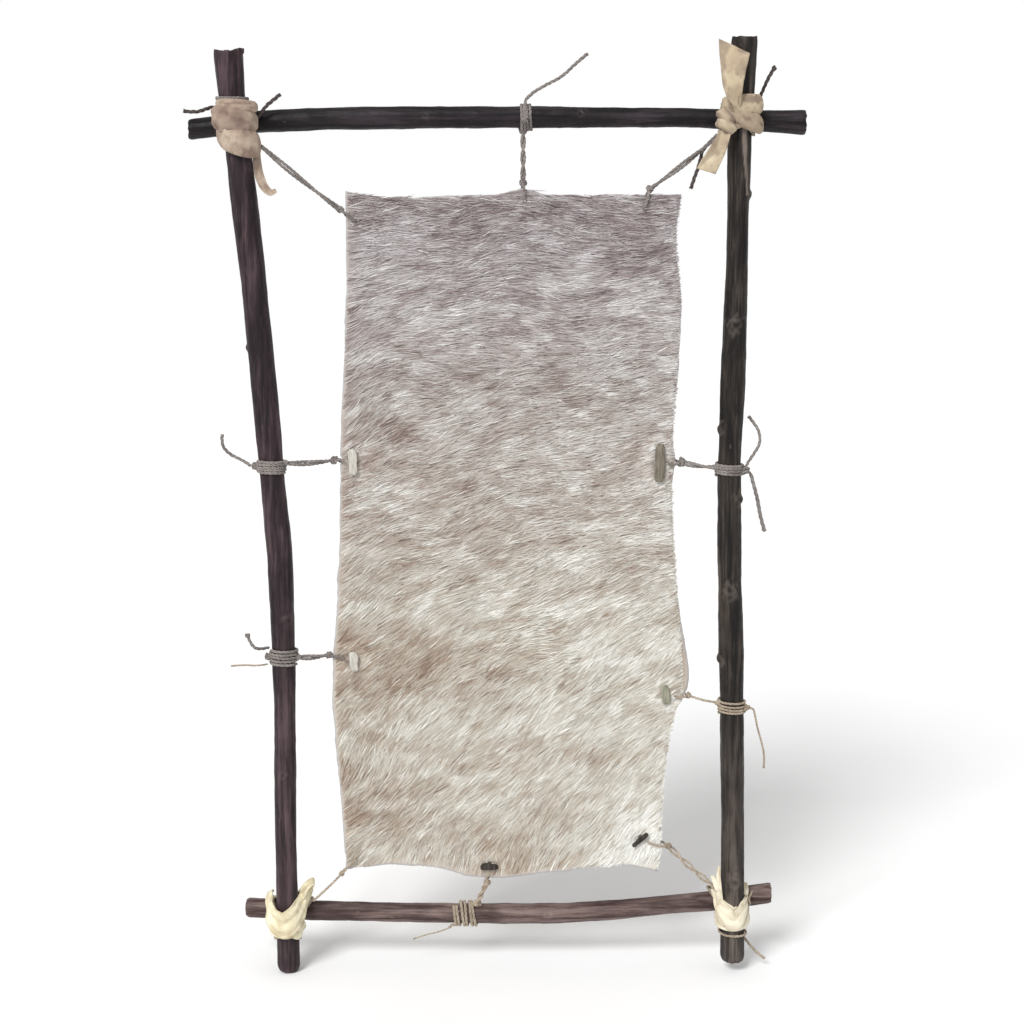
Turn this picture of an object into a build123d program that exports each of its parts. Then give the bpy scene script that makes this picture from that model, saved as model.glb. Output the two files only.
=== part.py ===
# A hair-on hide laced with jute twine into a frame of four bark-covered sticks.
#
# Millimetres. The origin is under the middle of the top rail, where a wall hook carries the
# frame. X runs to the right along the rails, Y from the front to the back, Z up.
import math
import os

from build123d import *

# ---------------------------------------------------------------- driving dimensions
POST_Y = {"left": -24.0, "right": -22.8}  # upright axes, in front of the rails
RAIL_Y = 0.0                              # rail axes
HIDE_Y = -12.0                            # middle of the hide, between uprights and rails
HIDE_THICK = 6.0                          # skin with its hair pressed flat
HOLE_R = 3.4                              # punched lacing holes in the hide
TWINE_D = 2.8                             # jute twine
TWINE_R = TWINE_D / 2
HUG = 0.25                                # air between a pole and the twine round it
PAIR_W = 5.4                              # two strands of a doubled tie, side by side
LUMP_R = 3.7                              # where a tie leaves its turns
BAND_T = 0.9                              # twine between the ribs of a tie's turns
SEAM_ANGLE = 55                           # where a ring of turns closes, away from its knots
STRAP_T = 3.0                             # cream cloth strip, as wound
STRAP_AIR = 0.5                           # air between the strip and the rail it covers
LAYER_AIR = 1.0                           # and between the strip and the twine under it

# Poles, thick end to thin end as (place along the pole, sideways offset, radius).
# Uprights are placed by Z with the offset in X, rails by X with the offset in Z.
LEFT_UPRIGHT = [
    (-851, -206.5, 11.8), (-701, -207, 11.0), (-565, -205, 11.1), (-513, -205, 11.7),
    (-414, -207, 12.1), (-323, -214, 11.8), (-262, -218, 11.8), (-135, -228, 12.1),
    (-28, -238, 12.8), (32, -244, 13.0), (72, -246.5, 14.2),
]
RIGHT_UPRIGHT = [
    (-841, 250, 12.3), (-691, 247.5, 11.7), (-565, 244, 11.6), (-523, 243, 12.4),
    (-421, 239, 11.9), (-323, 237, 11.4), (-262, 239, 11.7), (-135, 241, 11.2),
    (-12, 241, 11.2), (85, 244, 12.4),
]
TOP_RAIL = [
    (-289, -1.5, 10.6), (-224, 6, 10.6), (-153, 9, 10.2), (-56, 10.1, 10.1),
    (35, 10.1, 10.1), (186, 9.8, 9.8), (267, 6.5, 10.3), (307, 5, 11.4),
]
BOTTOM_RAIL = [
    (-252, -793, 10.2), (-183, -796, 10.3), (-93, -798.5, 10.4), (11, -800, 10.4),
    (73, -799.5, 10.4), (135, -795.5, 10.3), (229, -786, 10.3), (291, -777, 10.2),
]
SCAR_R = 6.0                              # healed branch stubs
SCAR_OUT = 2.6                            # how far a stub stands out of the bark


# ---------------------------------------------------------------- poles
class Pole:
    """A naturally bent stick through round sections at its stations."""

    def __init__(self, stations, upright, depth):
        self.stations = stations
        self.upright = upright
        self.depth = depth

    def point(self, along, offset):
        if self.upright:
            return Vector(offset, self.depth, along)
        return Vector(along, self.depth, offset)

    def at(self, along):
        """Centre, radius and direction of the pole at a place along it."""
        last = len(self.stations) - 2
        for i, (low, high) in enumerate(zip(self.stations, self.stations[1:])):
            if along <= high[0] or i == last:
                part = (along - low[0]) / (high[0] - low[0])
                offset = low[1] + (high[1] - low[1]) * part
                radius = low[2] + (high[2] - low[2]) * part
                start = self.point(low[0], low[1])
                end = self.point(high[0], high[1])
                return self.point(along, offset), radius, (end - start).normalized()

    def solid(self):
        normal = (0, 0, 1) if self.upright else (1, 0, 0)
        sections = []
        for along, offset, radius in self.stations:
            plane = Plane(origin=self.point(along, offset), z_dir=normal)
            sections.append(plane * Circle(radius))
        return loft(sections, ruled=True)

    def side(self, along, angle):
        """Unit vector square to the pole: 0 is +X or +Z, 90 points to the front."""
        _, _, axis = self.at(along)
        front = Vector(0, -1, 0)
        across = axis.cross(front) if self.upright else front.cross(axis)
        turn = math.radians(angle)
        return across.normalized() * math.cos(turn) + front * math.sin(turn)


def with_scars(pole, scars):
    """The stick with its healed branch stubs, each (place along, angle round)."""
    stick = pole.solid()
    for along, angle in scars:
        centre, radius, _ = pole.at(along)
        middle = centre + pole.side(along, angle) * (radius + SCAR_OUT - SCAR_R)
        stick = stick + Pos(*middle) * Sphere(SCAR_R)
    return stick


left_pole = Pole(LEFT_UPRIGHT, True, POST_Y["left"])
right_pole = Pole(RIGHT_UPRIGHT, True, POST_Y["right"])
top_pole = Pole(TOP_RAIL, False, RAIL_Y)
bottom_pole = Pole(BOTTOM_RAIL, False, RAIL_Y)


# ---------------------------------------------------------------- twine
def strand(start, end, radius=TWINE_R):
    """A straight run of twine between two points."""
    start = Vector(start)
    end = Vector(end)
    run = end - start
    along = Plane(origin=start, z_dir=run)
    return along * Cylinder(radius, run.length, align=(Align.CENTER, Align.CENTER, Align.MIN))


def single(start, end):
    return [strand(start, end)]


def doubled(start, end):
    """Two strands side by side, as one flat cord as wide as both."""
    run = Vector(end) - Vector(start)
    across = run.cross(Vector(0, 1, 0))
    profile = Plane(origin=start, x_dir=across, z_dir=run) * SlotOverall(PAIR_W, TWINE_D)
    return [extrude(profile, run.length)]


def bent(points, bend_r):
    """A length of twine through those points, rounded at each corner."""
    path = FilletPolyline(*points, radius=[bend_r] * (len(points) - 2))
    return sweep(Plane(origin=path @ 0, z_dir=path % 0) * Circle(TWINE_R), path=path)


def fused(pieces):
    """One solid from overlapping lengths of twine and knots."""
    return pieces[0].fuse(*pieces[1:]).solid()


def turns(pole, middle, count, pitch, knot_angle, knot_r=4.2):
    """Turns of twine round a pole as one ribbed band, and the knot that ties them off."""
    centre, radius, axis = pole.at(middle)
    bark = radius + HUG
    half = (count - 1) / 2 * pitch + TWINE_R
    profile = [(bark, half), (bark, -half)]
    for i in range(count):
        rib = (i - (count - 1) / 2) * pitch
        profile += [(bark + BAND_T, rib - TWINE_R), (bark + TWINE_D, rib - TWINE_R / 2)]
        profile += [(bark + TWINE_D, rib + TWINE_R / 2), (bark + BAND_T, rib + TWINE_R)]
    outward = pole.side(middle, SEAM_ANGLE)
    section = Plane(origin=centre, x_dir=outward, z_dir=outward.cross(axis))
    band = revolve(section * make_face(Polyline(profile, close=True)), Axis(centre, axis), 360)
    return [band, lump(pole, middle, knot_angle, knot_r)]


def lump(pole, place, angle, size):
    """A knot lying against a pole."""
    centre, radius, axis = pole.at(place)
    bark = radius + HUG
    outward = pole.side(place, angle)
    middle = Plane(origin=centre + outward * (bark + 0.8 * size), x_dir=axis, z_dir=outward)
    return middle * Sphere(size) - strand(centre - axis * 20, centre + axis * 20, bark)


def tied_to(pole, place, angle, end, run=doubled):
    """A tight run of twine from its turns on a pole to a point."""
    centre, radius, _ = pole.at(place)
    start = centre + pole.side(place, angle) * (radius + HUG + 0.8 * LUMP_R)
    return [lump(pole, place, angle, LUMP_R)] + run(start, end)


FRONT_Y = HIDE_Y - HIDE_THICK / 2 - TWINE_R - 0.3   # twine lying on the hair
BACK_Y = HIDE_Y + HIDE_THICK / 2 + TWINE_R + 0.3    # twine lying on the flesh side
BEND_R = 2.0                                        # twine turning round the hide's edge


def edge_loop(knot, hole, knot_r=3.9, reach=None):
    """A knot just off the hide's edge, with a strand in front and one behind to the hole.

    Without reach the loop closes through the hole. With reach both strands stop that far
    from the hole's middle, clear of a toggle that turns there.
    """
    start = Vector(knot[0], HIDE_Y, knot[1])
    end = Vector(hole[0], HIDE_Y, hole[1])
    front = Vector(0, FRONT_Y - HIDE_Y, 0)
    back = Vector(0, BACK_Y - HIDE_Y, 0)
    bulge = Plane(origin=start, x_dir=(1, 0, 0), z_dir=(0, 1, 0)) * Sphere(knot_r)
    if reach:
        end = end + (start - end).normalized() * reach
        sides = [bent([start + side * 0.1, start + side, end + side], BEND_R) for side in (front, back)]
        return [bulge] + sides
    loop = [start + front * 0.3, start + front, end + front, end + back, start + back]
    return [bulge, bent(loop + [start + back * 0.3], BEND_R)]


# ---------------------------------------------------------------- corner lashings
class Crossing:
    """Where an upright crosses a rail: round bars along both, from the crossing point."""

    def __init__(self, post, rail, rail_place, post_place):
        self.post_centre, self.post_r, self.post_axis = post.at(post_place)
        self.rail_centre, self.rail_r, self.rail_axis = rail.at(rail_place)

    def on_post(self, radius, low, high):
        """A bar of that radius over the bark, between two heights."""
        start = self.post_centre + self.post_axis * (low - self.post_centre.Z)
        return strand(start, start + self.post_axis * (high - low), self.post_r + radius)

    def on_rail(self, radius, left, right):
        start = self.rail_centre + self.rail_axis * (left - self.rail_centre.X)
        return strand(start, start + self.rail_axis * (right - left), self.rail_r + radius)

    def strap(self, low, high, left, right):
        """The cream strip as wound: a shell round both poles, open along both."""
        inner = STRAP_AIR + TWINE_D + LAYER_AIR
        shell = self.on_post(inner + STRAP_T, low, high)
        shell = shell + self.on_rail(STRAP_AIR + STRAP_T, left, right)
        shell = shell - self.on_post(inner, low - 50, high + 50)
        return shell - self.on_rail(STRAP_AIR, left - 50, right + 50)

    def twine(self, low, high):
        """Close turns of twine wound on the upright under the strip."""
        layer = self.on_post(STRAP_AIR + TWINE_D, low, high)
        layer = layer - self.on_post(STRAP_AIR, low - 5, high + 5)
        middle = self.post_centre.X
        return layer - self.on_rail(STRAP_AIR, middle - 50, middle + 50)


def facing_front(y):
    """A plane square to Y at a depth, drawn with X to the right and Z up."""
    return Plane(origin=(0, y, 0), x_dir=(1, 0, 0), z_dir=(0, -1, 0))


def flap(outline, front, thick=2.0):
    """A flat end of cloth strip, from its outline in XZ and the depth of its front face."""
    return extrude(facing_front(front + thick) * make_face(Polyline(outline, close=True)), thick)


top_left = Crossing(left_pole, top_pole, -241, 5)
top_right = Crossing(right_pole, top_pole, 241, 8)
bottom_left = Crossing(left_pole, bottom_pole, -207, -795)
bottom_right = Crossing(right_pole, bottom_pole, 249, -784)

strap_top_left = top_left.strap(-28, 27, -262, -219)
strap_top_left += flap([(-226, -22), (-217, -18), (-203, -52), (-199, -62), (-208, -61)], -36)

strap_top_right = top_right.strap(-7, 31, 218, 263)
strap_top_right += Pos(231, -44, 9) * Sphere(7)
strap_top_right += flap([(225, 10), (241, 12), (247, 68), (218, 82)], -43)
strap_top_right += flap([(222, 4), (237, 4), (217, -47), (199, -38)], -43)

strap_bottom_left = bottom_left.strap(-811, -757, -229, -182)
strap_bottom_left += flap([(-196, -773), (-190, -775), (-180, -757), (-187, -753)], -37)

strap_bottom_right = bottom_right.strap(-807, -752, 226, 266)
strap_bottom_right += flap([(233, -765), (238.5, -762), (236, -737), (228, -742)], -38)

lashing_top_left = top_left.twine(-25, 31)
lashing_top_right = top_right.twine(-5, 30)
lashing_bottom_left = bottom_left.twine(-809, -758)
lashing_bottom_right = bottom_right.twine(-815, -754)


# ---------------------------------------------------------------- hide
HIDE_OUTLINE = [
    (-138, -60), (-105, -66.5), (-56, -66), (10, -62.5), (34, -57.5), (52, -63), (147, -64),
    (187, -63), (182, -100), (188, -165), (185, -250), (182, -300), (185, -320), (182, -345),
    (183, -390), (189, -465), (197, -563), (188, -580), (179, -627), (175, -695), (176, -716),
    (172, -749), (145, -743), (72, -749), (3, -757), (-12, -756), (-48, -747), (-92, -742),
    (-147, -747), (-150, -690), (-158, -568), (-150, -440), (-147, -323), (-138, -136),
]
HOLES = {
    "top_left": (-129, -89), "top_centre": (34, -68), "top_right": (150, -76),
    "left_upper": (-134, -324), "left_lower": (-136, -527), "right_upper": (169, -325),
    "right_lower": (178, -561), "bottom_left": (-136, -734), "bottom_centre": (0, -743),
    "bottom_right": (154, -714),
}


hide_back = facing_front(HIDE_Y + HIDE_THICK / 2)
hide = extrude(hide_back * make_face(Polyline(HIDE_OUTLINE, close=True)), HIDE_THICK)
for hole_x, hole_z in HOLES.values():
    hide -= Pos(hole_x, HIDE_Y, hole_z) * Rot(90, 0, 0) * Cylinder(HOLE_R, 2 * HIDE_THICK)


# ---------------------------------------------------------------- ties
# Side ties stop short of the toggle, whose edge swings by up to this much.
TOGGLE_REACH = 7.8

TIES = {
    "top_left": doubled((-215, -27, -18.5), (-143, HIDE_Y, -78))
    + edge_loop((-143, -78), HOLES["top_left"]),
    "top_centre": turns(top_pole, 36, 4, 3.0, 100)
    + tied_to(top_pole, 34, 185, (34, HIDE_Y, -52))
    + edge_loop((34, -52), HOLES["top_centre"]),
    "top_right": doubled((213, -25, -15), (156, HIDE_Y, -58.5))
    + edge_loop((156, -58.5), HOLES["top_right"]),
    "left_upper": turns(left_pole, -327, 4, 3.0, 180)
    + tied_to(left_pole, -324, 10, (-152.5, HIDE_Y, -323))
    + edge_loop((-152.5, -323), HOLES["left_upper"], 4.8, TOGGLE_REACH),
    "left_lower": turns(left_pole, -519, 4, 4.0, 170)
    + tied_to(left_pole, -520, 10, (-161, HIDE_Y, -521))
    + edge_loop((-161, -521), HOLES["left_lower"], 3.9, TOGGLE_REACH),
    "right_upper": turns(right_pole, -330, 4, 3.2, 12, 4.6)
    + tied_to(right_pole, -328, 170, (190.5, HIDE_Y, -325))
    + edge_loop((190.5, -325), HOLES["right_upper"], 5.0, TOGGLE_REACH),
    "right_lower": turns(right_pole, -571, 4, 4.2, 20)
    + tied_to(right_pole, -567, 170, (201, HIDE_Y, -563), single)
    + edge_loop((201, -563), HOLES["right_lower"], 3.5, TOGGLE_REACH),
    "bottom_left": single((-181, -19, -779), (-151.5, HIDE_Y, -752))
    + edge_loop((-151.5, -752), HOLES["bottom_left"], 3.5),
    "bottom_centre": turns(bottom_pole, -24, 5, 6.0, -100)
    + tied_to(bottom_pole, -13.5, 15, (-2.5, HIDE_Y, -761.5))
    + edge_loop((-2.5, -761.5), HOLES["bottom_centre"], 3.9, TOGGLE_REACH),
    "bottom_right": doubled((225, -24, -757), (183, HIDE_Y, -722))
    + edge_loop((183, -722), HOLES["bottom_right"], 3.9, TOGGLE_REACH),
}


# ---------------------------------------------------------------- toggles
# Length, width, thickness and lean from upright, in degrees. A split sliver lies flat on
# the hair; a peg is as thick as it is wide.
TOGGLES = {
    "left_upper": (25, 9, 4, 0), "left_lower": (20, 9, 4, 5),
    "right_upper": (38, 10, 4, -2), "right_lower": (19, 9.5, 4, 12),
    "bottom_centre": (18, 8, 4, 92), "bottom_right": (20, 5, 5, -48),
}
TOGGLE_AIR = 0.4                          # between the toggle and the hair under it
STEM_R = 2.7                              # both strands of twine through the hole
STOP_R = 3.6                              # knot on the flesh side


def toggle_solid(place, size):
    """A whittled sliver with rounded ends, standing just off the hair."""
    x, z = place
    length, width, thick, lean = size
    back = facing_front(HIDE_Y - HIDE_THICK / 2 - TOGGLE_AIR)
    outline = back * Pos(x, z) * Rot(0, 0, 90 + lean) * SlotOverall(length, width * 0.96)
    return chamfer(extrude(outline, thick).faces().sort_by(Axis.Y)[0].edges(), thick * 0.2)


def toggle_loop(place):
    """The loop that holds a toggle: strands through the hole and a knot on the flesh side."""
    x, z = place
    front = HIDE_Y - HIDE_THICK / 2 - TOGGLE_AIR
    stop = HIDE_Y + HIDE_THICK / 2 + TOGGLE_AIR + STOP_R
    return strand((x, front, z), (x, stop, z), STEM_R) + Pos(x, stop, z) * Sphere(STOP_R)


# ---------------------------------------------------------------- free twine ends
# Each is (diameter, route), from where it leaves its knot to its cut end.
TAILS = {
    "tail_top_left_side": (TWINE_D, [
        (-264.5, -7, 20), (-270, -15, 17.5), (-281, -17, 14), (-292, -15, 16)]),
    "tail_top_left_up": (TWINE_D, [
        (-220.5, -19, 9), (-214.5, -17.5, 18), (-206.5, -18.5, 25), (-198, -16.5, 31.5)]),
    "tail_top_right_up": (TWINE_D, [
        (260.5, -12, 27), (264, -13.5, 37), (268.5, -14.5, 47), (274, -13, 56)]),
    "tail_top_right_down": (TWINE_D, [
        (206, -14, -24), (203.5, -16.5, -35), (199, -17.5, -46.5), (195.5, -16, -58)]),
    "tail_top_centre": (TWINE_D, [
        (36, -8, 26.5), (44, -9.5, 34), (57, -7.5, 41), (72, -8.5, 48.5), (84, -6.5, 60.5),
        (96, -8, 70)]),
    "tail_left_upper": (TWINE_D, [
        (-233.5, -24, -327), (-241, -22, -322), (-250, -20, -318.5), (-258, -21, -313),
        (-263, -19.5, -305), (-261.5, -20.5, -296)]),
    "tail_left_lower_knotted": (TWINE_D, [
        (-221, -11, -513.5), (-230, -18, -514.5), (-238, -21.5, -509.5), (-241.5, -20, -499)]),
    "tail_left_lower_frayed": (2.0, [
        (-222, -18, -529), (-232, -20.5, -530.5), (-246, -19, -529.5), (-259, -20.5, -530.5)]),
    "tail_right_upper_curl": (TWINE_D, [
        (257, -20, -322), (262.5, -18.5, -314.5), (267, -20, -306), (267.5, -17.5, -296.5),
        (263, -14.5, -287), (256, -12, -279)]),
    "tail_right_upper_hanging": (3.4, [
        (258.5, -22, -335), (262.5, -23.5, -349), (266.5, -21.5, -364), (269, -23, -379),
        (273.5, -22, -393)]),
    "tail_right_lower": (2.2, [
        (266, -24.5, -574), (268.5, -23, -584), (271, -21.5, -596), (275.5, -20, -610),
        (278.5, -21.5, -624), (278, -20.5, -637)]),
    "tail_bottom_centre": (1.6, [
        (-42, -8, -812.5), (-53, -9.5, -816.5), (-66, -8, -819.5), (-79, -9.5, -824)]),
    "tail_bottom_right": (TWINE_D, [
        (262, -12, -820), (269, -14, -829), (276, -12.5, -837.5), (284.5, -14, -843.5)]),
}


def tail_tube(diameter, route):
    """A tube of straight runs joined by tangent arcs, and the radii of those arcs."""
    points = [Vector(point) for point in route]
    radii = []
    for before, here, after in zip(points, points[1:], points[2:]):
        first = here - before
        second = after - here
        half_turn = math.radians(first.get_angle(second)) / 2
        radii.append(0.45 * min(first.length, second.length) / math.tan(half_turn))
    path = FilletPolyline(*points, radius=radii)
    start = Plane(origin=path @ 0, z_dir=path % 0)
    return sweep(start * Circle(diameter / 2), path=path), path, radii


# ---------------------------------------------------------------- write the parts
parts = {
    "left_upright": with_scars(left_pole, [(-480, 60), (-210, 200)]),
    "right_upright": with_scars(
        right_pole, [(-63, 20), (-187, 90), (-291, 165), (-360, 30), (-450, 80), (-521, 170)]
    ),
    "top_rail": with_scars(top_pole, [(92, 60)]),
    "bottom_rail": with_scars(bottom_pole, [(-120, 230)]),
    "strap_top_left": strap_top_left, "strap_top_right": strap_top_right,
    "strap_bottom_left": strap_bottom_left, "strap_bottom_right": strap_bottom_right,
    "lashing_top_left": lashing_top_left, "lashing_top_right": lashing_top_right,
    "lashing_bottom_left": lashing_bottom_left, "lashing_bottom_right": lashing_bottom_right,
    "hide": hide,
}
for name, pieces in TIES.items():
    parts["tie_" + name] = fused(pieces)
for name, size in TOGGLES.items():
    parts["toggle_" + name] = toggle_solid(HOLES[name], size)
    parts["toggle_loop_" + name] = toggle_loop(HOLES[name])

for name, (diameter, route) in TAILS.items():
    tube, path, radii = tail_tube(diameter, route)
    ideal = math.pi * diameter**2 / 4 * path.length
    radii_text = ", ".join(f"{radius:.1f}" for radius in radii)
    print(f"{name}: length {path.length:.1f}, radii {radii_text}, volume {tube.volume / ideal:.3f}")
    parts[name] = tube

os.makedirs("parts", exist_ok=True)
for name, shape in parts.items():
    export_step(shape, f"parts/{name}.step")
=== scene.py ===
import math

import bpy
import numpy as np
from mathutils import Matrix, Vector
from mathutils.bvhtree import BVHTree


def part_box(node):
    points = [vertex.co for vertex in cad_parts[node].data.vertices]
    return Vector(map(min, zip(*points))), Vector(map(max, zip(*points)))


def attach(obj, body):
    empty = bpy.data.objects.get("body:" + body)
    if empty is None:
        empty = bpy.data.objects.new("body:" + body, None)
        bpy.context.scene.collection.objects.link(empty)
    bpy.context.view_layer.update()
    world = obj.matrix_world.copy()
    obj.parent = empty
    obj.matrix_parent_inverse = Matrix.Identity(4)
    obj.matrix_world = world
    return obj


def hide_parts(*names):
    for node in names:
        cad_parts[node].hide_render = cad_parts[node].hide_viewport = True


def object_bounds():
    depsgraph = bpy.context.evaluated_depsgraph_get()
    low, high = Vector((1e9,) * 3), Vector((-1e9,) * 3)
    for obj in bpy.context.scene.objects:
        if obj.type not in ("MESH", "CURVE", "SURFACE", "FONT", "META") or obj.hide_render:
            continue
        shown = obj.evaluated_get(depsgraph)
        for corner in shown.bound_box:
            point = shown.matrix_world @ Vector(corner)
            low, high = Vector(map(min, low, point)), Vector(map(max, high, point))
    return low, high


# A hair-on hide laced with jute twine into a frame of four bark-covered sticks.
#
# Lengths are in millimetres, and MM turns them into the scene's metres. X runs to the right
# along the rails, Y from the front to the back, Z up. The origin is under the middle of the
# top rail. Colours are sRGB triples from 0 to 255.

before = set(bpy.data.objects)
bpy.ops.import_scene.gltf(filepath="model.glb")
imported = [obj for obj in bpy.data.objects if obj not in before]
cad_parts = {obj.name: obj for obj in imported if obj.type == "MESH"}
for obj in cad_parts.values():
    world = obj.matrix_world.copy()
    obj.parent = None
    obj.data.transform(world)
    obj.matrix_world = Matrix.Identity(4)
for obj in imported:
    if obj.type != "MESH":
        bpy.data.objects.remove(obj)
cad_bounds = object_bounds()

MM = 0.001
PI = math.pi
FRONTWARD = (0, -1, 0)

HUG = 0.25                 # air between bark and twine
TWINE_R = 1.4              # jute twine
HIDE_Y = -12.0             # middle of the hide
SKIN_FRONT = -13.0         # outer face of the skin, under the hair
SKIN_BACK = -10.8
FRONT_Y = -16.9            # twine lying on the hair
BACK_Y = -7.3              # twine lying on the flesh side
BARK_GIRTH = 12.0          # turns an angle round a pole into a distance on its bark


# ---------------------------------------------------------------- mesh helpers
def new_mesh(name, points, groups):
    """A smooth-shaded mesh from an array of points (mm) and arrays of equal-sized faces."""
    mesh = bpy.data.meshes.new(name)
    points = np.asarray(points, np.float32) * MM
    groups = [np.asarray(group, np.int32) for group in groups if len(group)]
    corners = np.concatenate([group.ravel() for group in groups])
    sizes = np.concatenate([np.full(len(group), group.shape[1]) for group in groups])
    starts = np.concatenate([[0], np.cumsum(sizes)[:-1]]).astype(np.int32)
    mesh.vertices.add(len(points))
    mesh.vertices.foreach_set("co", points.ravel())
    mesh.loops.add(len(corners))
    mesh.loops.foreach_set("vertex_index", corners)
    mesh.polygons.add(len(sizes))
    mesh.polygons.foreach_set("loop_start", starts)
    mesh.polygons.foreach_set("use_smooth", np.ones(len(sizes), bool))
    mesh.update(calc_edges=True)
    mesh.validate()
    return mesh


def place(name, mesh, material, body="frame", replaces=()):
    """Puts a mesh in the scene as a piece of the object."""
    piece = bpy.data.objects.new(name, mesh)
    bpy.context.scene.collection.objects.link(piece)
    mesh.materials.append(material)
    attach(piece, body)
    if replaces:
        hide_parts(*replaces)
    return piece


def paint(mesh, name, values):
    """Stores a number per point for the materials."""
    layer = mesh.attributes.new(name, "FLOAT", "POINT")
    layer.data.foreach_set("value", np.asarray(values, np.float32).ravel())


def tube_quads(rings, sides):
    """Quads of an open tube between rings of points."""
    i = np.arange(rings - 1)[:, None] * sides
    j = np.arange(sides)[None, :]
    k = (j + 1) % sides
    return np.stack([i + j, i + k, i + sides + k, i + sides + j], -1).reshape(-1, 4)


def grid_quads(rows, columns, closed=False):
    """Quads of a grid of points, its last row joined to its first if closed."""
    i = np.arange(rows if closed else rows - 1)[:, None]
    j = np.arange(columns - 1)[None, :]
    after = (i + 1) % rows
    quads = np.stack(
        [i * columns + j, i * columns + j + 1, after * columns + j + 1, after * columns + j], -1
    )
    return quads.reshape(-1, 4)


def thick_sheet(outer, inner, closed=False, keep=None):
    """Points and quads of a solid between two grids of points, with any quads not kept left open."""
    rows, columns = outer.shape[:2]
    quads = grid_quads(rows, columns, closed)
    if keep is not None:
        quads = quads[keep]
    edges = {}
    for quad in quads:
        for a, b in zip(quad, np.roll(quad, -1)):
            edges[(int(a), int(b))] = True
    count = rows * columns
    rim = [(b, a, a + count, b + count) for a, b in edges if (b, a) not in edges]
    points = np.concatenate([outer.reshape(-1, 3), inner.reshape(-1, 3)])
    return points, [quads, quads[:, ::-1] + count, np.array(rim)]


def joined(parts):
    """Points and face arrays of several (points, face arrays) parts as one."""
    points = []
    faces = []
    count = 0
    for made, groups in parts:
        points.append(made)
        faces += [group + count for group in groups if len(group)]
        count += len(made)
    return np.concatenate(points), faces


def box_mm(name):
    """Low and high corners of a CAD node's box, in mm."""
    return [np.array(corner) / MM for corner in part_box(name)]


# ---------------------------------------------------------------- directions and lines
def unit(vectors):
    """A vector, or each row of several, brought to length 1."""
    vectors = np.asarray(vectors, float)
    return vectors / np.linalg.norm(vectors, axis=-1, keepdims=True)


def round_turns(count):
    """Angles spaced evenly round a circle."""
    return np.arange(count) * 2 * PI / count


def swing(turn, first, second):
    """Directions turned by each angle from a first direction towards a second."""
    return np.cos(turn)[..., None] * first + np.sin(turn)[..., None] * second


def run_along(points):
    """Distance along a line at each of its points."""
    return np.concatenate([[0], np.cumsum(np.linalg.norm(np.diff(points, axis=0), axis=1))])


def curve_through(points, step):
    """A smooth line through points, sampled about every step."""
    points = np.asarray(points, float)
    where = run_along(points)
    slopes = np.gradient(points, where, axis=0)
    at = np.linspace(0, where[-1], max(3, int(where[-1] / step) + 2))
    i = np.clip(np.searchsorted(where, at, side="right") - 1, 0, len(where) - 2)
    h = np.diff(where)[i][:, None]
    t = (at - where[i])[:, None] / h
    start = (2 * t**3 - 3 * t**2 + 1) * points[i] + (t**3 - 2 * t**2 + t) * h * slopes[i]
    end = (-2 * t**3 + 3 * t**2) * points[i + 1] + (t**3 - t**2) * h * slopes[i + 1]
    return start + end


def carried_frames(points):
    """Two directions square to a line at each point, turning as little as they can."""
    tangents = unit(np.gradient(points, axis=0))
    normals = [unit(np.cross(tangents[0], [0.31, 0.87, 0.39]))]
    for tangent in tangents[1:]:
        normals.append(unit(normals[-1] - tangent * np.dot(normals[-1], tangent)))
    normals = np.array(normals)
    return normals, np.cross(tangents, normals)


# ---------------------------------------------------------------- numbers that wander
def field(x, z, size, seed):
    """Smooth random values over a plane, with features about size across."""
    table = np.random.default_rng(seed).normal(size=(64, 64))
    u = np.asarray(x, float) / size + 31.3
    v = np.asarray(z, float) / size + 17.7
    i = np.floor(u).astype(int)
    j = np.floor(v).astype(int)
    fu = u - i
    fv = v - j
    fu = fu * fu * (3 - 2 * fu)
    fv = fv * fv * (3 - 2 * fv)
    low = table[i % 64, j % 64] * (1 - fu) + table[(i + 1) % 64, j % 64] * fu
    high = table[i % 64, (j + 1) % 64] * (1 - fu) + table[(i + 1) % 64, (j + 1) % 64] * fu
    return low * (1 - fv) + high * fv


def near(x, centre, width):
    """1 at a place, falling smoothly to 0 about a width away."""
    return np.exp(-((x - centre) / width) ** 2)


# ---------------------------------------------------------------- twine
PLIES = 3
PLY_SIDES = 7
PLY_OFFSET = 0.23          # of the twine's diameter, and so are the next three
PLY_RADIUS = 0.27
TWIST_PITCH = 4.6
TWINE_STEP = 0.24
FUZZ_PER_MM = 0.55         # loose fibres in a millimetre of twine
FUZZ_REACH = 1.5           # how far the longest of them stand out


def twine_arrays(route, diameter, rng, fray=0.0):
    """Points and quads of three-ply twine along a route, opening by fray at its far end."""
    step = TWINE_STEP * diameter
    line = curve_through(route, step)
    normals, sides = carried_frames(line)
    count = len(line)
    along = np.arange(count) * step
    opening = 1 + fray * np.clip((np.linspace(0, 1, count) - 0.8) / 0.2, 0, 1) ** 2
    around = swing(round_turns(PLY_SIDES)[None, :], normals[:, None, :], sides[:, None, :])
    plies = []
    for ply in range(PLIES):
        turn = 2 * PI * (along / (TWIST_PITCH * diameter) + ply / PLIES) + rng.uniform(0, 0.35)
        loose = 1 + 0.08 * field(along, along * 0, 4 * diameter, int(rng.integers(1e6)))
        offset = PLY_OFFSET * diameter * loose * opening
        centre = line + offset[:, None] * swing(turn, normals, sides)
        swell = 1 + 0.08 * field(along, along * 0, 3, int(rng.integers(1e6)))
        thick = PLY_RADIUS * diameter * swell
        thick[[0, -1]] *= 0.35
        ring = centre[:, None, :] + thick[:, None, None] * around
        plies.append((ring.reshape(-1, 3), [tube_quads(count, PLY_SIDES)]))
    points, quads = joined(plies)
    return points, quads, line


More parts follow.
